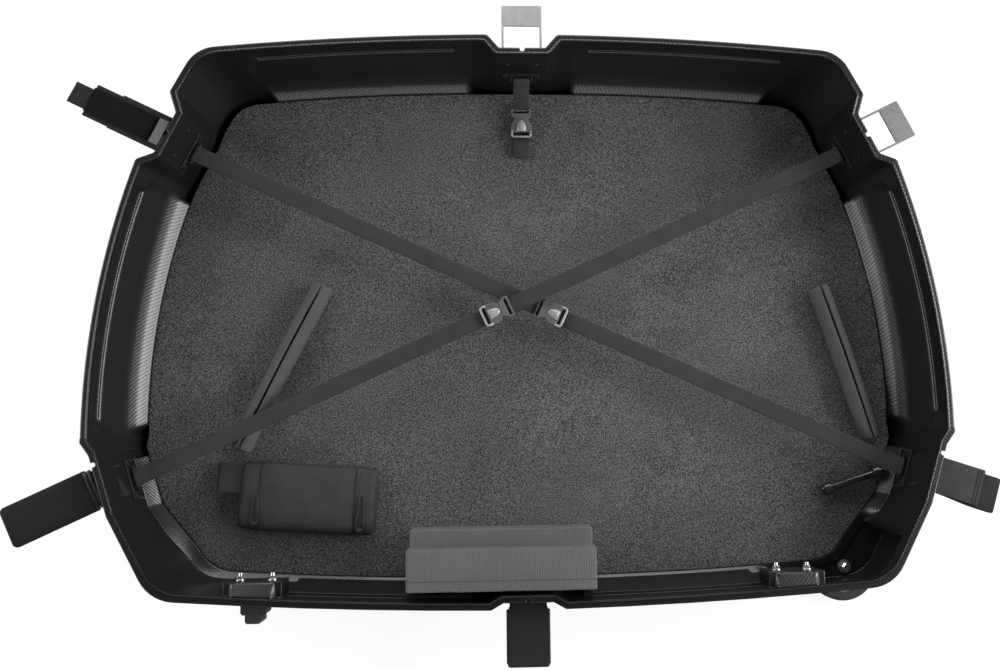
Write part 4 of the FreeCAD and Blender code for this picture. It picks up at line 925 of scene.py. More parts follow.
def makeSleeve(nodeName, sleeve):
    outer, inner = sleeveRing["outer"], sleeveRing["inner"]
    gap = math.asin(sleeveRing["slit"] / outer)
    a = np.linspace(gap + 0.06, 2 * math.pi - gap - 0.06, 44)
    lip = np.linspace(0, math.pi, 7)[1:-1]
    middle, thick = (outer + inner) / 2, (outer - inner) / 2
    ring = [outer * np.stack([np.sin(a), np.cos(a)], -1)]
    for angle, way in ((a[-1], 1), (a[0], -1)):
        r = middle + thick * np.cos(lip if way > 0 else lip[::-1])
        t = angle + way * np.sin(lip) * 0.05
        ring.append(np.stack([r * np.sin(t), r * np.cos(t)], -1))
    inside = inner * np.stack([np.sin(a[::-1]), np.cos(a[::-1])], -1)
    profile = np.concatenate([ring[0], ring[1], inside, ring[2]])
    turn = math.radians(sleeve["turn"])
    along = np.array([math.cos(turn), math.sin(turn), 0])
    across = np.cross(upAxis, along)
    half = sleeve["length"] / 2
    end = half - np.array([0, 0.6, 2])
    s = np.concatenate([-end, np.linspace(-half + 6, half - 6, 40), end[::-1]])
    pinch = 1 - 0.05 * smoothStep(half - 2.5, half, np.abs(s)) + 0.008 * np.sin(s / 11.0)
    origin = np.array([*np.multiply(sleeve["at"], case["half"]), sleeveRing["floor"] + outer])
    bow = sleeve["bow"] * np.cos(s / half * math.pi / 2)
    centre = origin + s[:, None] * along + bow[:, None] * across
    section = profile[None, :, :1] * across + profile[None, :, 1:] * upAxis
    grid = centre[:, None] + pinch[:, None, None] * section
    uv = uvGrid(np.append(s, s[-1] + 1), lengthsAlong(profile, True))
    piece = gridPiece(nodeName.replace("tube_sleeve_", "tubeSleeve_"), grid, uv, caps=True)
    settle(piece, "sleeveFoam", nodeName)


for nodeName, sleeve in tubeSleeves.items():
    makeSleeve(nodeName, sleeve)
print("tube sleeves made")


# bands of webbing: a flat profile with thin selvedges carried along a path in the plane of u and w, with its
# width along side, which is one direction or one for every point of the path
def bandPiece(name, path, origin, uAxis, wAxis, side, width, thick, closed=False):
    share = np.array([-1, -0.985, -0.94, -0.5, 0, 0.5, 0.94, 0.985, 1])
    lift = np.array([0, 0.75, 1, 1, 1, 1, 1, 0.75, 0])
    profile = np.concatenate([np.stack([share, lift], -1), np.stack([share[-2:0:-1], -lift[-2:0:-1]], -1)])
    profile = profile * (0.5, thick / 2)
    width = np.broadcast_to(np.asarray(width, float), len(path))[:, None, None]
    slope = headings(path, closed)
    normal = np.stack([-slope[:, 1], slope[:, 0]], -1)
    uAxis, wAxis = unit(uAxis), unit(wAxis)
    place = origin + path[:, :1] * uAxis + path[:, 1:] * wAxis
    lifted = normal[:, :1] * uAxis + normal[:, 1:] * wAxis
    side = unitRows(np.broadcast_to(side, place.shape))[:, None]
    grid = place[:, None] + width * profile[None, :, :1] * side + profile[None, :, 1:] * lifted[:, None]
    run = lengthsAlong(path, True)
    uv = uvGrid(run, lengthsAlong(profile * (width.mean(), 1), True))
    return gridPiece(name, grid, uv, wrapRows=closed, caps=not closed)


# eye of a band: an arc from 90 to 270 degrees, in at the top, round the bar and out below
def eyeArc(radius, steps=15):
    a = np.linspace(math.pi / 2, math.pi * 1.5, steps)
    return radius * np.stack([np.cos(a), np.sin(a)], -1)


strapBand = {"width": 25.0, "thick": 1.5, "bar": 2.0, "buckleBar": 1.8, "gap": 0.3, "lap": 42.0,
             "anchorLevel": 80.0, "reach": 9.0, "tip": 3.4, "leave": 14.0, "dip": (26.0, 3.0), "twist": 30.0}
buckle = {"offset": 40.0, "sag": 14.0, "plug": 16.1, "socket": 26.6}
buckleMouths = {}


# middle and direction of the bar that an anchor holds off the wall
def anchorBar(name):
    middle, normal, slope = stationFrame(name)
    inset = case["flange"] + slope * (case["rim"] - strapBand["anchorLevel"]) + case["wall"]
    outward = np.array([*normal, 0.0])
    origin = np.array([*(middle - normal * inset), strapBand["anchorLevel"]])
    rise = unit(upAxis + outward * slope)
    along = np.cross(outward, upAxis)
    return origin - np.cross(rise, along) * strapBand["reach"], -along


# a run of webbing from a bar on the wall to a buckle: round the first bar, over the span with a slight sag,
# under the buckle's bar and up into its slot, with both ends lapped back under the span and sewn
def strapRun(name, nodeName, start, stop, startWay, sag):
    along = unit(stop - start)
    across = unit(np.cross(upAxis, along))
    lifted = np.cross(along, across)
    span = np.linalg.norm(stop - start)
    thick = strapBand["thick"]
    near = strapBand["bar"] + strapBand["gap"] + thick / 2
    dip = strapBand["buckleBar"] + strapBand["gap"] + thick / 2
    lap = min(strapBand["lap"], span * 0.35)
    tip = span + strapBand["tip"]
    turn = thick / 2 + 0.1
    leave = strapBand["leave"]
    dipFrom, dipTo = strapBand["dip"]

    def level(u):
        share = u / span
        hang = sag * 4 * share * (1 - np.minimum(share, 1))
        return -hang - dip * smoothStep(span - dipFrom, span - dipTo, u)

    clear = np.linspace(leave, span - dipFrom - 2, max(8, int(span / 9)))
    u = np.concatenate([clear, np.linspace(span - dipFrom + 2, tip, 14)])
    lapIn = np.linspace(lap, leave, 8)
    lapOut = np.linspace(tip, span - lap, 14)
    path = np.concatenate([
        np.stack([lapIn, level(lapIn) - 2 * turn], -1),
        eyeArc(near)[::-1],
        np.stack([u, level(u)], -1),
        (tip, level(tip) - turn) + turn * foldArc(7, False),
        np.stack([lapOut, level(lapOut) - 2 * turn], -1),
    ])
    fade = smoothStep(0, strapBand["twist"], path[:, 0])[:, None]
    way = startWay if startWay @ across > 0 else -startWay
    side = way * (1 - fade) + across * fade
    piece = bandPiece(name, path, start, along, lifted, side, strapBand["width"], thick)
    settle(piece, "innerWebbing", nodeName)


# two runs that meet in a buckle a little past the crossing
def makeCrossStrap(letter, first, second, sag):
    (start, startWay), (stop, stopWay) = anchorBar(first), anchorBar(second)
    crossing = start + (stop - start) * (start[0] / (start[0] - stop[0]))
    along = unit(stop - start)
    mouth = crossing + along * buckle["offset"] - upAxis * sag
    buckleMouths[f"cross_{letter}"] = (mouth, along)
    plug, socket = mouth - along * buckle["plug"], mouth + along * buckle["socket"]
    strapRun(f"crossStrap_{letter}_upper", f"cross_strap_{letter}_upper", start, plug, startWay, 2.0)
    strapRun(f"crossStrap_{letter}_lower", f"cross_strap_{letter}_lower", stop, socket, stopWay, 2.0)


makeCrossStrap("a", "upper_left", "lower_right", buckle["sag"])
makeCrossStrap("b", "upper_right", "lower_left", 0.0)

# top strap: down from the top anchor to the mat, then a folded loop beyond the buckle
topStrap = {"drop": 36.0, "fold": 34.0, "skin": 0.3, "buckleThick": 10.0}


def makeTopStrap():
    start, startWay = anchorBar("top")
    thick = strapBand["thick"]
    under = floorMat["top"] + topStrap["skin"] + thick
    level = under + topStrap["skin"] + topStrap["buckleThick"] / 2
    plugY = start[1] - topStrap["drop"]
    plug = np.array([start[0], plugY, level])
    socketY = plugY - buckle["plug"] - buckle["socket"]
    buckleMouths["top"] = (plug - np.array([0, buckle["plug"], 0]), np.array([0, -1.0, 0]))
    strapRun("topStrap_upper", "top_strap_upper", start, plug, startWay, 0.5)
    low = under - thick / 2
    dip = strapBand["buckleBar"] + strapBand["gap"] + thick / 2
    bend = (level - low) / 2
    fold = topStrap["fold"]
    turn = (fold - bend, (low - level) / 2) + bend * foldArc(13)
    first = np.linspace(-strapBand["tip"], 11, 9)
    u = np.linspace(12, fold - bend - 2, 6)
    back = np.linspace(fold - bend - 2, -buckle["socket"] + 2, 14)
    path = np.concatenate([
        np.stack([first, -dip * smoothStep(12, 3, first)], -1),
        np.stack([u, np.zeros(6)], -1),
        turn,
        np.stack([back, np.full(14, low - level)], -1),
    ])
    origin = np.array([start[0], socketY, level])
    width = strapBand["width"]
    piece = bandPiece("topStrap_lower", path, origin, (0, -1, 0), upAxis, (1, 0, 0), width, thick)
    settle(piece, "innerWebbing", "top_strap_lower")


makeTopStrap()
print("inner straps made")

# relief on a buckle: a bullet-shaped dome on the socket, its half width an ellipse that runs into straight
# sides, and a round frame on the outer end, a circle carried round three sides of a rectangle
buckleRelief = {
    "dome": {"from": 1.2, "round": 13.0, "to": 19.5, "half": 7.7, "high": 3.8, "level": 4.7},
    "frame": {"from": 18.5, "to": 28.4, "half": 15.0, "radius": 1.7, "corner": 4.0, "level": 4.2},
}


def buckleDome(name, size, mouth, along, across):
    u = size["from"] + (size["to"] - size["from"]) * np.linspace(0, 1, 22) ** 1.5
    reach = size["from"] + size["round"]
    short = (reach - np.minimum(u, reach)) / size["round"]
    half = size["half"] * np.sqrt(np.clip(1 - short ** 2, 0.004, 1))
    v = np.linspace(-1, 1, 15)
    end = np.sqrt(np.clip(1 - ((u - size["to"] + 3) / 3.2).clip(0) ** 2, 0.02, 1))
    crown = np.sqrt(np.clip(1 - v ** 2, 0, 1))[None, :] ** 1.2
    top = size["level"] + size["high"] * (half / size["half"])[:, None] * end[:, None] * crown
    side = np.concatenate([half[:, None] * v[None, :], half[:, None] * v[None, ::-1]], 1)
    level = np.concatenate([top, np.full(top.shape, size["level"] - 0.6)], 1)
    grid = mouth + u[:, None, None] * along + side[..., None] * across + level[..., None] * upAxis
    piece = gridPiece(name, grid, uvGrid(np.append(u, u[-1] + 1), np.arange(31) * 1.0), caps=True)
    # painted highlight: the dome gets the lighter copy of black gloss
    settle(piece, "buckleEdgePaintedHighlight")


def buckleFrame(name, size, mouth, along, across):
    near, far, half = size["from"], size["to"], size["half"]
    corners = [(near, -half), (far, -half), (far, half), (near, half)]
    bends = roundedPolygon(corners, size["corner"], 7).reshape(4, 7, 2)
    flat = np.concatenate([[corners[0]], bends[1], bends[2], [corners[3]]])
    slope = headings(flat)
    line = mouth + flat[:, :1] * along + flat[:, 1:] * across + size["level"] * upAxis
    side = -slope[:, 1:] * along + slope[:, :1] * across
    piece = roundTube(name, line, side, upAxis[None], size["radius"], 14, 0.8, np.arange(len(line) + 1) * 2.0)
    # painted highlight: the frame gets the lighter copy of black gloss
    settle(piece, "buckleEdgePaintedHighlight")


def makeRelief(name, mouth, along):
    across = unit(np.cross(upAxis, along))
    buckleDome(f"buckleDome_{name}", buckleRelief["dome"], mouth, along, across)
    buckleFrame(f"buckleFrame_{name}", buckleRelief["frame"], mouth, along, across)


for name, (mouth, along) in buckleMouths.items():
    makeRelief(name, mouth, along)
print("buckle relief made")

# closure straps: doubled bands round their pins, with the layers, pads and tabs sewn to them
closure = {"width": 54.0, "wide": 61.0, "thick": 2.0, "gap": 0.5, "pin": 2.25, "clear": 0.3, "leave": 9.0,
           "ripple": (0.25, 17.0)}
upperLeft = {
    "reach": 136.0,
    "width": 52.0,
    "over": {"from": 12.0, "to": 93.0, "width": 56.0, "thick": 1.6, "level": 3.4},
    "pad": {"from": 30.0, "to": 137.0, "width": 39.0, "thick": 2.2, "level": 5.3, "outer": 3.7},
    "pale": {"from": 13.0, "to": 28.0, "width": 40.0, "thick": 0.8, "level": 4.7},
    "tab": {"from": 124.0, "to": 167.0, "width": 34.0, "thick": 2.0, "level": 0.0},
}
lowerLeft = {
    "reach": 34.0,
    "lean": (6.5, 14.0),
    "flap": {"from": 24.0, "to": 150.0, "width": 61.0, "thick": 2.2, "layer": 1.75, "corner": 7.0},
    "keepers": ({"from": 14.0, "to": 18.0}, {"from": 20.0, "to": 24.5}),
    "keeper": {"width": 58.0, "thick": 6.4, "level": 0.3},
}
lowerRight = {
    "reach": 106.0,
    "corner": 3.5,
    "drift": (4.5, 8.0, 80.0),
    "over": {"from": 7.0, "to": 80.0, "width": 55.0, "thick": 1.8, "level": 3.5},
    "stitches": (70.0, 74.5),
    "stitch": {"width": 50.0, "length": 0.9, "thick": 0.5, "level": 4.5},
}
bottomStrap = {
    "reach": 94.0,
    "corner": 4.0,
    "flare": (9.0, 16.0),
    "under": {"from": 14.0, "to": 90.0, "width": 63.5, "thick": 1.4, "level": -3.3},
}


# place and axis of a joint, and the direction outwards from the case
def hingeFrame(jointName):
    joint = [j for j in frame["joints"] if j["name"] == jointName][0]
    along = unit(joint["axis"])
    return np.array(joint["pos_m"]) / milli, along, np.cross(upAxis, along)


# closed loop path: top layer out from the pin, a tight fold, bottom layer back and round the pin
def loopPath(reach, layer, eye):
    u = np.linspace(closure["leave"], reach - layer, 30)
    high, long = closure["ripple"]
    ripple = high * np.sin(u / long)
    out = np.stack([u, layer + ripple], -1)
    turn = (reach - layer, 0) + layer * foldArc(9, False)
    back = np.stack([u[::-1], -layer + ripple[::-1]], -1)
    ring = np.linspace(-math.pi / 2 - 0.25, -1.5 * math.pi + 0.25, 17)
    return np.concatenate([out, turn, back, eye * np.stack([np.cos(ring), np.sin(ring)], -1)])


# width that draws in over a quarter circle at the far end, so that the corners there are round
def cornerWidth(u, end, width, radius):
    d = np.clip(end - u, 0, radius)
    return width - 2 * radius + 2 * np.sqrt(np.maximum(radius ** 2 - (radius - d) ** 2, 0))


# lean turns a layer in its own plane, by an angle about a point of its path; drift moves it sideways
def strapLayer(name, station, path, width, thick, finish, closed=False, lean=(0.0, 0.0), drift=0.0):
    origin, along, outward = hingeFrame(f"strap_{station}_swing")
    angle, pivot = math.radians(lean[0]), lean[1]
    way = math.cos(angle) * outward - math.sin(angle) * along
    across = math.cos(angle) * along + math.sin(angle) * outward
    start = origin + pivot * (outward - way) + np.broadcast_to(drift, len(path))[:, None] * along
    piece = bandPiece(f"{name}_{station}", path, start, way, upAxis, across, width, thick, closed=closed)
    return settle(piece, finish, body=f"strap_{station}")


def baseStrap(station, reach, width, drift=None):
    layer = (closure["thick"] + closure["gap"]) / 2
    eye = closure["pin"] + closure["clear"] + closure["thick"] / 2
    path = loopPath(reach, layer, eye)
    shift = drift(path[:, 0]) if drift else 0.0
    piece = strapLayer("closureStrap", station, path, width(path[:, 0]), closure["thick"],
                       "closureWebbing", closed=True, drift=shift)
    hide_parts(f"closure_strap_{station}")


# flat layer on a strap: a straight path at one height, with round corners at its far end
def flatLayer(name, station, size, finish="closureWebbing", corner=0.0):
    u = np.linspace(size["from"], size["to"], 26)
    level = np.full(len(u), size["level"])
    if "outer" in size:
        edge = upperLeft["over"]["to"]
        level = size["level"] + (size["outer"] - size["level"]) * smoothStep(edge, edge + 5, u)
    if corner:
        u = size["to"] - (size["to"] - size["from"]) * np.linspace(1, 0, 26) ** 2
    width = cornerWidth(u, size["to"] + 0.2, size["width"], corner) if corner else size["width"]
    lean = size.get("lean", (0.0, 0.0))
    return strapLayer(name, station, np.stack([u, level], -1), width, size["thick"], finish, lean=lean)


def makeUpperLeft():
    baseStrap("upper_left", upperLeft["reach"], lambda u: np.full(len(u), upperLeft["width"]))
    flatLayer("strapOver", "upper_left", upperLeft["over"])
    flatLayer("strapPale", "upper_left", upperLeft["pale"], "paleWebbing")
    flatLayer("strapTab", "upper_left", upperLeft["tab"])
    pad = flatLayer("hookPad", "upper_left", upperLeft["pad"], "hookTape")
    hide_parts("hook_pad_upper_left")


def makeLowerLeft():
    baseStrap("lower_left", lowerLeft["reach"], lambda u: np.full(len(u), closure["width"] - 2))
    flap = lowerLeft["flap"]
    layer, corner = flap["layer"], flap["corner"]
    u = flap["to"] - layer - (flap["to"] - layer - flap["from"]) * np.linspace(1, 0, 34) ** 1.7
    far = (flap["to"] - layer, 0) + layer * foldArc(9, False)
    near = (flap["from"], 0) - layer * foldArc(9, False)
    wave = 0.4 * np.sin(u / 26.0)
    over = np.stack([u, layer + wave], -1)
    under = np.stack([u[::-1], -layer + wave[::-1]], -1)
    path = np.concatenate([over, far, under, near])
    width = cornerWidth(path[:, 0], flap["to"] + 0.2, flap["width"], corner)
    strapLayer("strapFlap", "lower_left", path, width, flap["thick"], "flapVinyl",
               closed=True, lean=lowerLeft["lean"])
    for index, keeper in enumerate(lowerLeft["keepers"]):
        size = {**keeper, **lowerLeft["keeper"], "lean": lowerLeft["lean"]}
        flatLayer(f"strapKeeper{index}", "lower_left", size, "blackGloss")


def makeLowerRight():
    far, low, high = lowerRight["drift"]
    baseStrap("lower_right", lowerRight["reach"],
              lambda u: cornerWidth(u, lowerRight["reach"] + 0.2, closure["width"], lowerRight["corner"]),
              lambda u: far * smoothStep(low, high, u))
    flatLayer("strapOver", "lower_right", lowerRight["over"], "innerWebbing", corner=2.5)
    stitch = lowerRight["stitch"]
    for index, start in enumerate(lowerRight["stitches"]):
        size = {**stitch, "from": start, "to": start + stitch["length"]}
        flatLayer(f"strapStitch{index}", "lower_right", size)


def makeBottom():
    def width(u):
        narrow, wide = closure["width"], closure["wide"]
        flare = narrow + (wide - narrow) * smoothStep(*bottomStrap["flare"], u)
        return flare - wide + cornerWidth(u, bottomStrap["reach"] + 0.2, wide, bottomStrap["corner"])

    baseStrap("bottom", bottomStrap["reach"], width)
    flatLayer("strapUnder", "bottom", bottomStrap["under"], "blackGloss")


makeUpperLeft()
makeLowerLeft()
makeLowerRight()
makeBottom()
print("closure straps made")

# chain bag: a pouch whose section is a squashed round, with a collar at each end beyond a sewn seam
chainBag = {
    "at": (-0.520, -0.630),
    "turn": -4.0,
    "length": 210.0,
    "width": 104.0,
    "thick": 27.0,
    "floor": 37.4,
    "seam": 0.68,
    "voxel": 5.0,
    "cap": 9.0,
    "pressure": 4.0,
    "ceiling": 69.0,
}
bagTurn = math.radians(chainBag["turn"])
bagAlong = np.array([math.cos(bagTurn), math.sin(bagTurn), 0])
bagSide = np.array([-math.sin(bagTurn), math.cos(bagTurn), 0])
bagOrigin = np.array([*np.multiply(chainBag["at"], case["half"]), chainBag["floor"]])


def bagForm():
    s = np.linspace(-1, 1, 81)
    a = np.linspace(0, 2 * math.pi, 80, endpoint=False)
    far = np.abs(s)
    ends = np.sqrt(np.clip(1 - ((far - 0.90).clip(0) / 0.104) ** 2, 0.02, 1))
    full = ends * (1 - 0.16 * smoothStep(0.5, 1.0, far))
    full = full - 0.10 * np.exp(-((far - chainBag["seam"]) / 0.03) ** 2)
    width = chainBag["width"] / 2 * (0.86 + 0.14 * full) * np.where(far > 0.97, 0.985, 1)
    across = np.sign(np.cos(a)) * np.abs(np.cos(a)) ** 0.7
    lift = (1 + np.sign(np.sin(a)) * np.abs(np.sin(a)) ** 0.75) / 2
    above = np.maximum(np.sin(a), 0)[None, :]
    dent = 2.4 * np.exp(-((s[:, None] + 0.1) / 0.35) ** 2)
    dent = dent * np.exp(-(np.cos(a)[None, :] - 0.2) ** 2 / 0.1) * above
    slack = 1.4 * np.sin(s * 4.0 + 0.6)[:, None] * above - dent
    y = width[:, None] * across[None, :]
    z = np.clip(chainBag["thick"] * full[:, None] * lift[None, :] + slack, 0, None)
    x = (s * chainBag["length"] / 2)[:, None, None]
    return bagOrigin + x * bagAlong + y[..., None] * bagSide + z[..., None] * upAxis


# the pouch swells under pressure between its pinned seams, ends and underside, and no point passes the cap
def swell(form):
    remesh = form.modifiers.new("remesh", "REMESH")
    remesh.mode = "VOXEL"
    remesh.voxel_size = chainBag["voxel"] * milli
    mesh = bpy.data.meshes.new_from_object(form.evaluated_get(bpy.context.evaluated_depsgraph_get()))
    bpy.data.objects.remove(form)
    mesh.name = "chainBag"
    piece = bpy.data.objects.new("chainBag", mesh)
    scene.collection.objects.link(piece)
    rest = np.empty(len(mesh.vertices) * 3, np.float32)
    mesh.vertices.foreach_get("co", rest)
    rest = rest.reshape(-1, 3).astype(float)
    share = (rest / milli - bagOrigin) @ bagAlong / (chainBag["length"] / 2)
    far = np.abs(share)
    held = (rest[:, 2] / milli < chainBag["floor"] + 4) | (far > 0.94)
    held = held | (np.abs(far - chainBag["seam"]) < 0.025)
    group = piece.vertex_groups.new(name="pinned")
    group.add(np.flatnonzero(held).tolist(), 1.0, "REPLACE")
    cloth = piece.modifiers.new("cloth", "CLOTH")
    cloth.settings.quality = 5
    cloth.settings.mass = 0.2
    cloth.settings.use_pressure = True
    cloth.settings.uniform_pressure_force = chainBag["pressure"]
    cloth.settings.effector_weights.gravity = 0
    cloth.settings.vertex_group_mass = "pinned"
    cloth.point_cache.frame_start, cloth.point_cache.frame_end = 1, 20
    for step in range(1, 21):
        scene.frame_set(step)
    done = piece.evaluated_get(bpy.context.evaluated_depsgraph_get())
    moved = np.empty(len(mesh.vertices) * 3, np.float32)
    done.data.vertices.foreach_get("co", moved)
    shift = moved.reshape(-1, 3) - rest
    length = np.linalg.norm(shift, axis=1, keepdims=True)
    cap = chainBag["cap"] * milli
    place = rest + shift * np.minimum(1, cap / np.maximum(length, 1e-9))
    place[:, 2] = np.clip(place[:, 2], chainBag["floor"] * milli, chainBag["ceiling"] * milli)
    piece.modifiers.remove(cloth)
    scene.frame_set(1)
    mesh.vertices.foreach_set("co", place.astype(np.float32).ravel())
    mesh.polygons.foreach_set("use_smooth", np.full(len(mesh.polygons), True))
    mesh.update()
    smooth = piece.modifiers.new("smooth", "SUBSURF")
    smooth.levels = smooth.render_levels = 1
    return piece


# piping along a seam: rays from the middle of the section find the cloth, and a circle runs round the hits
def bagPiping(name, tree, share, radius):
    middle = bagOrigin + bagAlong * share * chainBag["length"] / 2 + upAxis * 8
    a = np.linspace(-0.12, math.pi + 0.12, 46)
    ways = np.cos(a)[:, None] * bagSide + np.sin(a)[:, None] * upAxis
    hits = [tree.ray_cast(Vector(middle * milli), Vector(way), 0.2)[0] for way in ways]
    line = np.array([np.array(hit) / milli for hit in hits if hit is not None])
    out = np.cross(headings(line), bagAlong)
    run = np.append(lengthsAlong(line), 400.0)
    piece = roundTube(name, line, bagAlong[None], out, radius, 8, radius, run)
    settle(piece, "bagSeam")


# drawcords: two legs down over the cloth and a half circle between them, laid on the pouch by rays from above
bagCords = (
    {"at": -76.0, "from": 2.0, "to": -36.0, "gap": 3.2, "turn": 5.2},
    {"at": 82.0, "from": 8.0, "to": -38.0, "gap": 3.2, "turn": 5.2},
)
cordForm = {"diameter": 2.5, "knot": (4.6, 3.8, 3.4)}


def makeBagCord(index, size, skin):
    y = np.linspace(size["from"], size["to"], 18)
    apart = size["gap"] + (size["turn"] - size["gap"]) * smoothStep(size["from"], size["to"], y)
    a = np.linspace(math.pi, 2 * math.pi, 15)[1:-1]
    flat = np.concatenate([
        np.stack([-apart, y], -1),
        np.stack([size["turn"] * np.cos(a), size["to"] + size["turn"] * np.sin(a)], -1),
        np.stack([apart[::-1], y[::-1]], -1),
    ])
    line = bagOrigin + (size["at"] + flat[:, :1]) * bagAlong + flat[:, 1:] * bagSide
    radius = cordForm["diameter"] / 2
    down = Vector((0, 0, -1))
    drops = [skin.ray_cast(Vector((point + upAxis * 80) * milli), down, 0.2)[0] for point in line]
    level = np.array([chainBag["floor"] if drop is None else drop.z / milli for drop in drops]) + radius * 0.8
    for _ in range(4):
        level[1:-1] = (level[:-2] + 2 * level[1:-1] + level[2:]) / 4
    line[:, 2] = level
    line[[0, -1], 2] -= radius
    slope = headings(line)
    side = unitRows(np.cross(slope, upAxis))
    run = lengthsAlong(line)
    lifted = np.cross(side, slope)
    piece = roundTube(f"bagCord{index}", line, side, lifted, radius, 10, 0.8, np.append(run, run[-1] + 1))
    settle(piece, "bagCord")
    knot = makeKnot(f"bagKnot{index}", line[len(line) // 2] + upAxis * 0.6)


# knot: an egg whose radius ripples along a spiral
def makeKnot(name, middle):
    polar = np.linspace(0.12, math.pi - 0.12, 17)[:, None]
    turn = np.linspace(0, 2 * math.pi, 25)[None, :-1]
    swellOut = 1 + 0.13 * np.sin(3 * turn + 4 * polar)
    ring = np.sin(polar)
    rings = np.stack([np.cos(polar) + 0 * turn, ring * np.cos(turn), ring * np.sin(turn)], -1)
    rings = rings * swellOut[..., None] * np.array(cordForm["knot"])
    grid = middle + rings[..., :1] * bagAlong + rings[..., 1:2] * bagSide + rings[..., 2:] * upAxis
    piece = gridPiece(name, grid, uvGrid(np.arange(18) * 0.8, np.arange(25) * 0.8), caps=True)
    return settle(piece, "bagCord")


# strap loop at the left end: a flat band out from the collar, folded and back below
bagLoop = {"reach": 33.0, "width": 46.0, "thick": 1.4, "high": 15.0, "low": 2.0, "shift": 25.0}


def makeBagLoop():
    high, low, reach = bagLoop["high"], bagLoop["low"], bagLoop["reach"]
    bend = (high - low) / 2
    u = np.linspace(-8, reach - bend - 3, 10)
    path = np.concatenate([
        np.stack([u, high + 0 * u], -1),
        (reach - bend, low + bend) + bend * foldArc(15),
        np.stack([u[::-1], low + 0 * u], -1),
    ])
    start = bagOrigin - bagAlong * chainBag["length"] / 2 + bagSide * bagLoop["shift"]
    piece = bandPiece("bagLoop", path, start, -bagAlong, upAxis, bagSide, bagLoop["width"], bagLoop["thick"])
    settle(piece, "innerWebbing")


def makeBag():
    grid = bagForm()
    rows, cols = grid.shape[:2]
    uv = uvGrid(np.linspace(0, chainBag["length"], rows + 1), np.linspace(0, 260, cols + 1))
    piece = gridPiece("chainBagForm", grid, uv, caps=True)
    piece = swell(piece)
    piece.name = "chainBag"
    settle(piece, "bagCloth", "chain_bag")
    bpy.context.view_layer.update()
    skin = BVHTree.FromObject(piece, bpy.context.evaluated_depsgraph_get())
    for index, share in enumerate((-chainBag["seam"], chainBag["seam"])):
        bagPiping(f"bagSeam{index}", skin, share, 1.0)
    for index, size in enumerate(bagCords):
        makeBagCord(index, size, skin)
    makeBagLoop()


makeBag()
print("chain bag made")

# floor, light and camera
stageSet = {"floorLevel": -0.001, "floorHalf": 9.0, "white": 0.88, "sky": 0.21, "skyGloss": 0.05}
lights = {
    "rightLight": {"place": (2.2, 0.1, 1.0), "target": (-0.3, 0, 0.05), "size": (1.2, 1.9), "power": 112.0},
    "leftLight": {"place": (-2.2, 0.1, 1.0), "target": (0.3, 0, 0.05), "size": (1.2, 1.9), "power": 46.0},
    "topLight": {"place": (0.0, 2.2, 1.1), "target": (0, 0, 0.05), "size": (2.4, 0.9), "power": 66.0},
    "lowLight": {"place": (0.0, -2.0, 1.3), "target": (0, 0, 0.05), "size": (2.0, 0.6), "power": 18.0},
}


def makeStage():
    half, level = stageSet["floorHalf"] / milli, stageSet["floorLevel"] / milli
    corners = [(-half, -half, level), (half, -half, level), (half, half, level), (-half, half, level)]
    floor = putMesh("studioFloor", corners, [[0, 1, 2, 3]], np.array(corners)[:, :2], False)
    material, tree, skin = newMaterial("studioFloor", 0.9)
    cloud = noiseAt(tree, objectPoint(tree), 3.0)
    tree.links.new(rampBetween(tree, cloud, grey(0.86), grey(0.90)), skin.inputs["Base Color"])
    path = addNode(tree, "LightPath")
    shown = mathNode(tree, "MAXIMUM", path.outputs["Is Glossy Ray"], path.outputs["Is Transmission Ray"])
    seen = mathNode(tree, "MAXIMUM", path.outputs["Is Camera Ray"], shown)
    glow = addNode(tree, "Emission", None, {"Color": (1, 1, 1, 1), "Strength": 1.0})
    share = mathNode(tree, "MULTIPLY", seen, stageSet["white"])
    mixed = addNode(tree, "MixShader", None, {0: share, 1: skin.outputs[0], 2: glow.outputs[0]})
    tree.links.new(mixed.outputs[0], tree.nodes["Material Output"].inputs["Surface"])
    floor.data.materials.append(material)


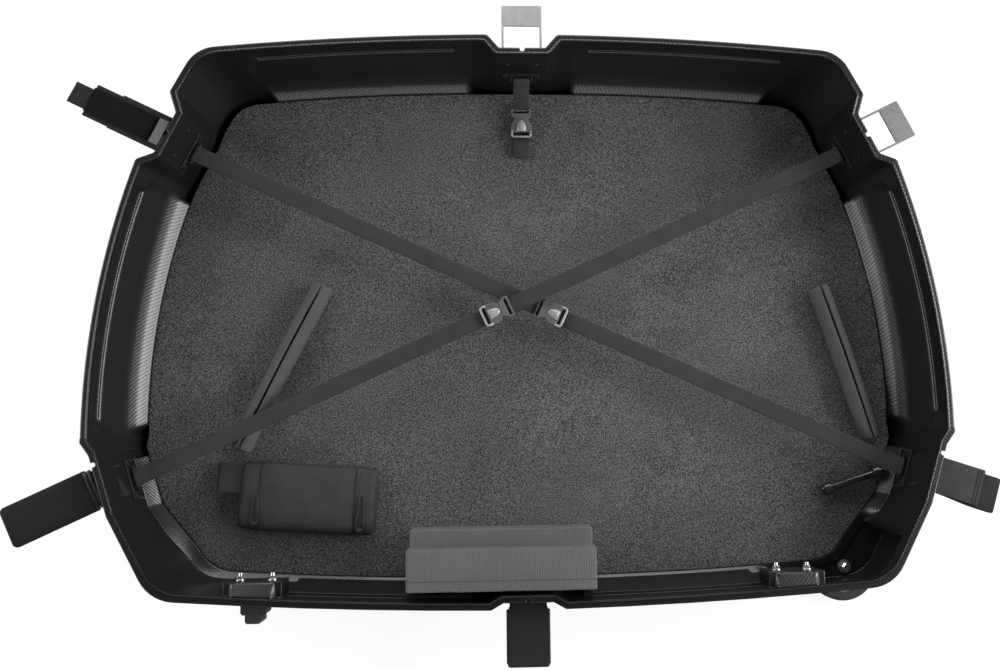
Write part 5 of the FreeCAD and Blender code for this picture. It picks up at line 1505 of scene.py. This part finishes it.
def addLight(name, light):
    lamp = bpy.data.lights.new(name, "AREA")
    lamp.shape = "RECTANGLE"
    lamp.size, lamp.size_y = light["size"]
    lamp.energy = light["power"]
    item = bpy.data.objects.new(name, lamp)
    item.location = light["place"]
    back = unit(np.subtract(light["place"], light["target"]))
    right = unit(np.cross((0, 1, 0.001), back))
    aim = Matrix(np.stack([right, np.cross(back, right), back], -1).tolist())
    item.rotation_euler = aim.to_euler()
    scene.collection.objects.link(item)


def makeLight():
    for name, light in lights.items():
        addLight(name, light)
    world = bpy.data.worlds.new("studioWorld")
    scene.world = world
    world.use_nodes = True
    tree = world.node_tree
    back = tree.nodes["Background"]
    path = addNode(tree, "LightPath")
    seen = mathNode(tree, "MAXIMUM", path.outputs["Is Camera Ray"], path.outputs["Is Transmission Ray"])
    plain = spread(tree, path.outputs["Is Glossy Ray"], stageSet["sky"], stageSet["skyGloss"])
    strength = addNode(tree, "MapRange", None, {"Value": seen, "To Min": plain, "To Max": 1.0})
    back.inputs["Color"].default_value = (1, 1, 1, 1)
    tree.links.new(strength.outputs["Result"], back.inputs["Strength"])


# camera fitted to the rim in the photograph
view = {"place": (-0.0453, -0.2169, 1.6073), "turns": (-7.1, 2.87, 0.46), "focal": 1004.0, "middleX": 545.0,
        "width": 1000.0, "sensor": 36.0}


def makeCamera():
    lens = bpy.data.cameras.new("photoCamera")
    lens.sensor_fit = "HORIZONTAL"
    lens.sensor_width = view["sensor"]
    lens.lens = view["sensor"] * view["focal"] / view["width"]
    lens.shift_x = -(view["middleX"] - view["width"] / 2) / view["width"]
    camera = bpy.data.objects.new("photoCamera", lens)
    rx, ry, rz = (math.radians(t) for t in view["turns"])
    turn = Matrix.Rotation(rz, 3, "Z") @ Matrix.Rotation(ry, 3, "Y") @ Matrix.Rotation(rx, 3, "X")
    camera.matrix_world = Matrix.Translation(view["place"]) @ turn.transposed().to_4x4()
    scene.collection.objects.link(camera)
    scene.camera = camera


makeStage()
makeLight()
makeCamera()
print("stage, light and camera made")
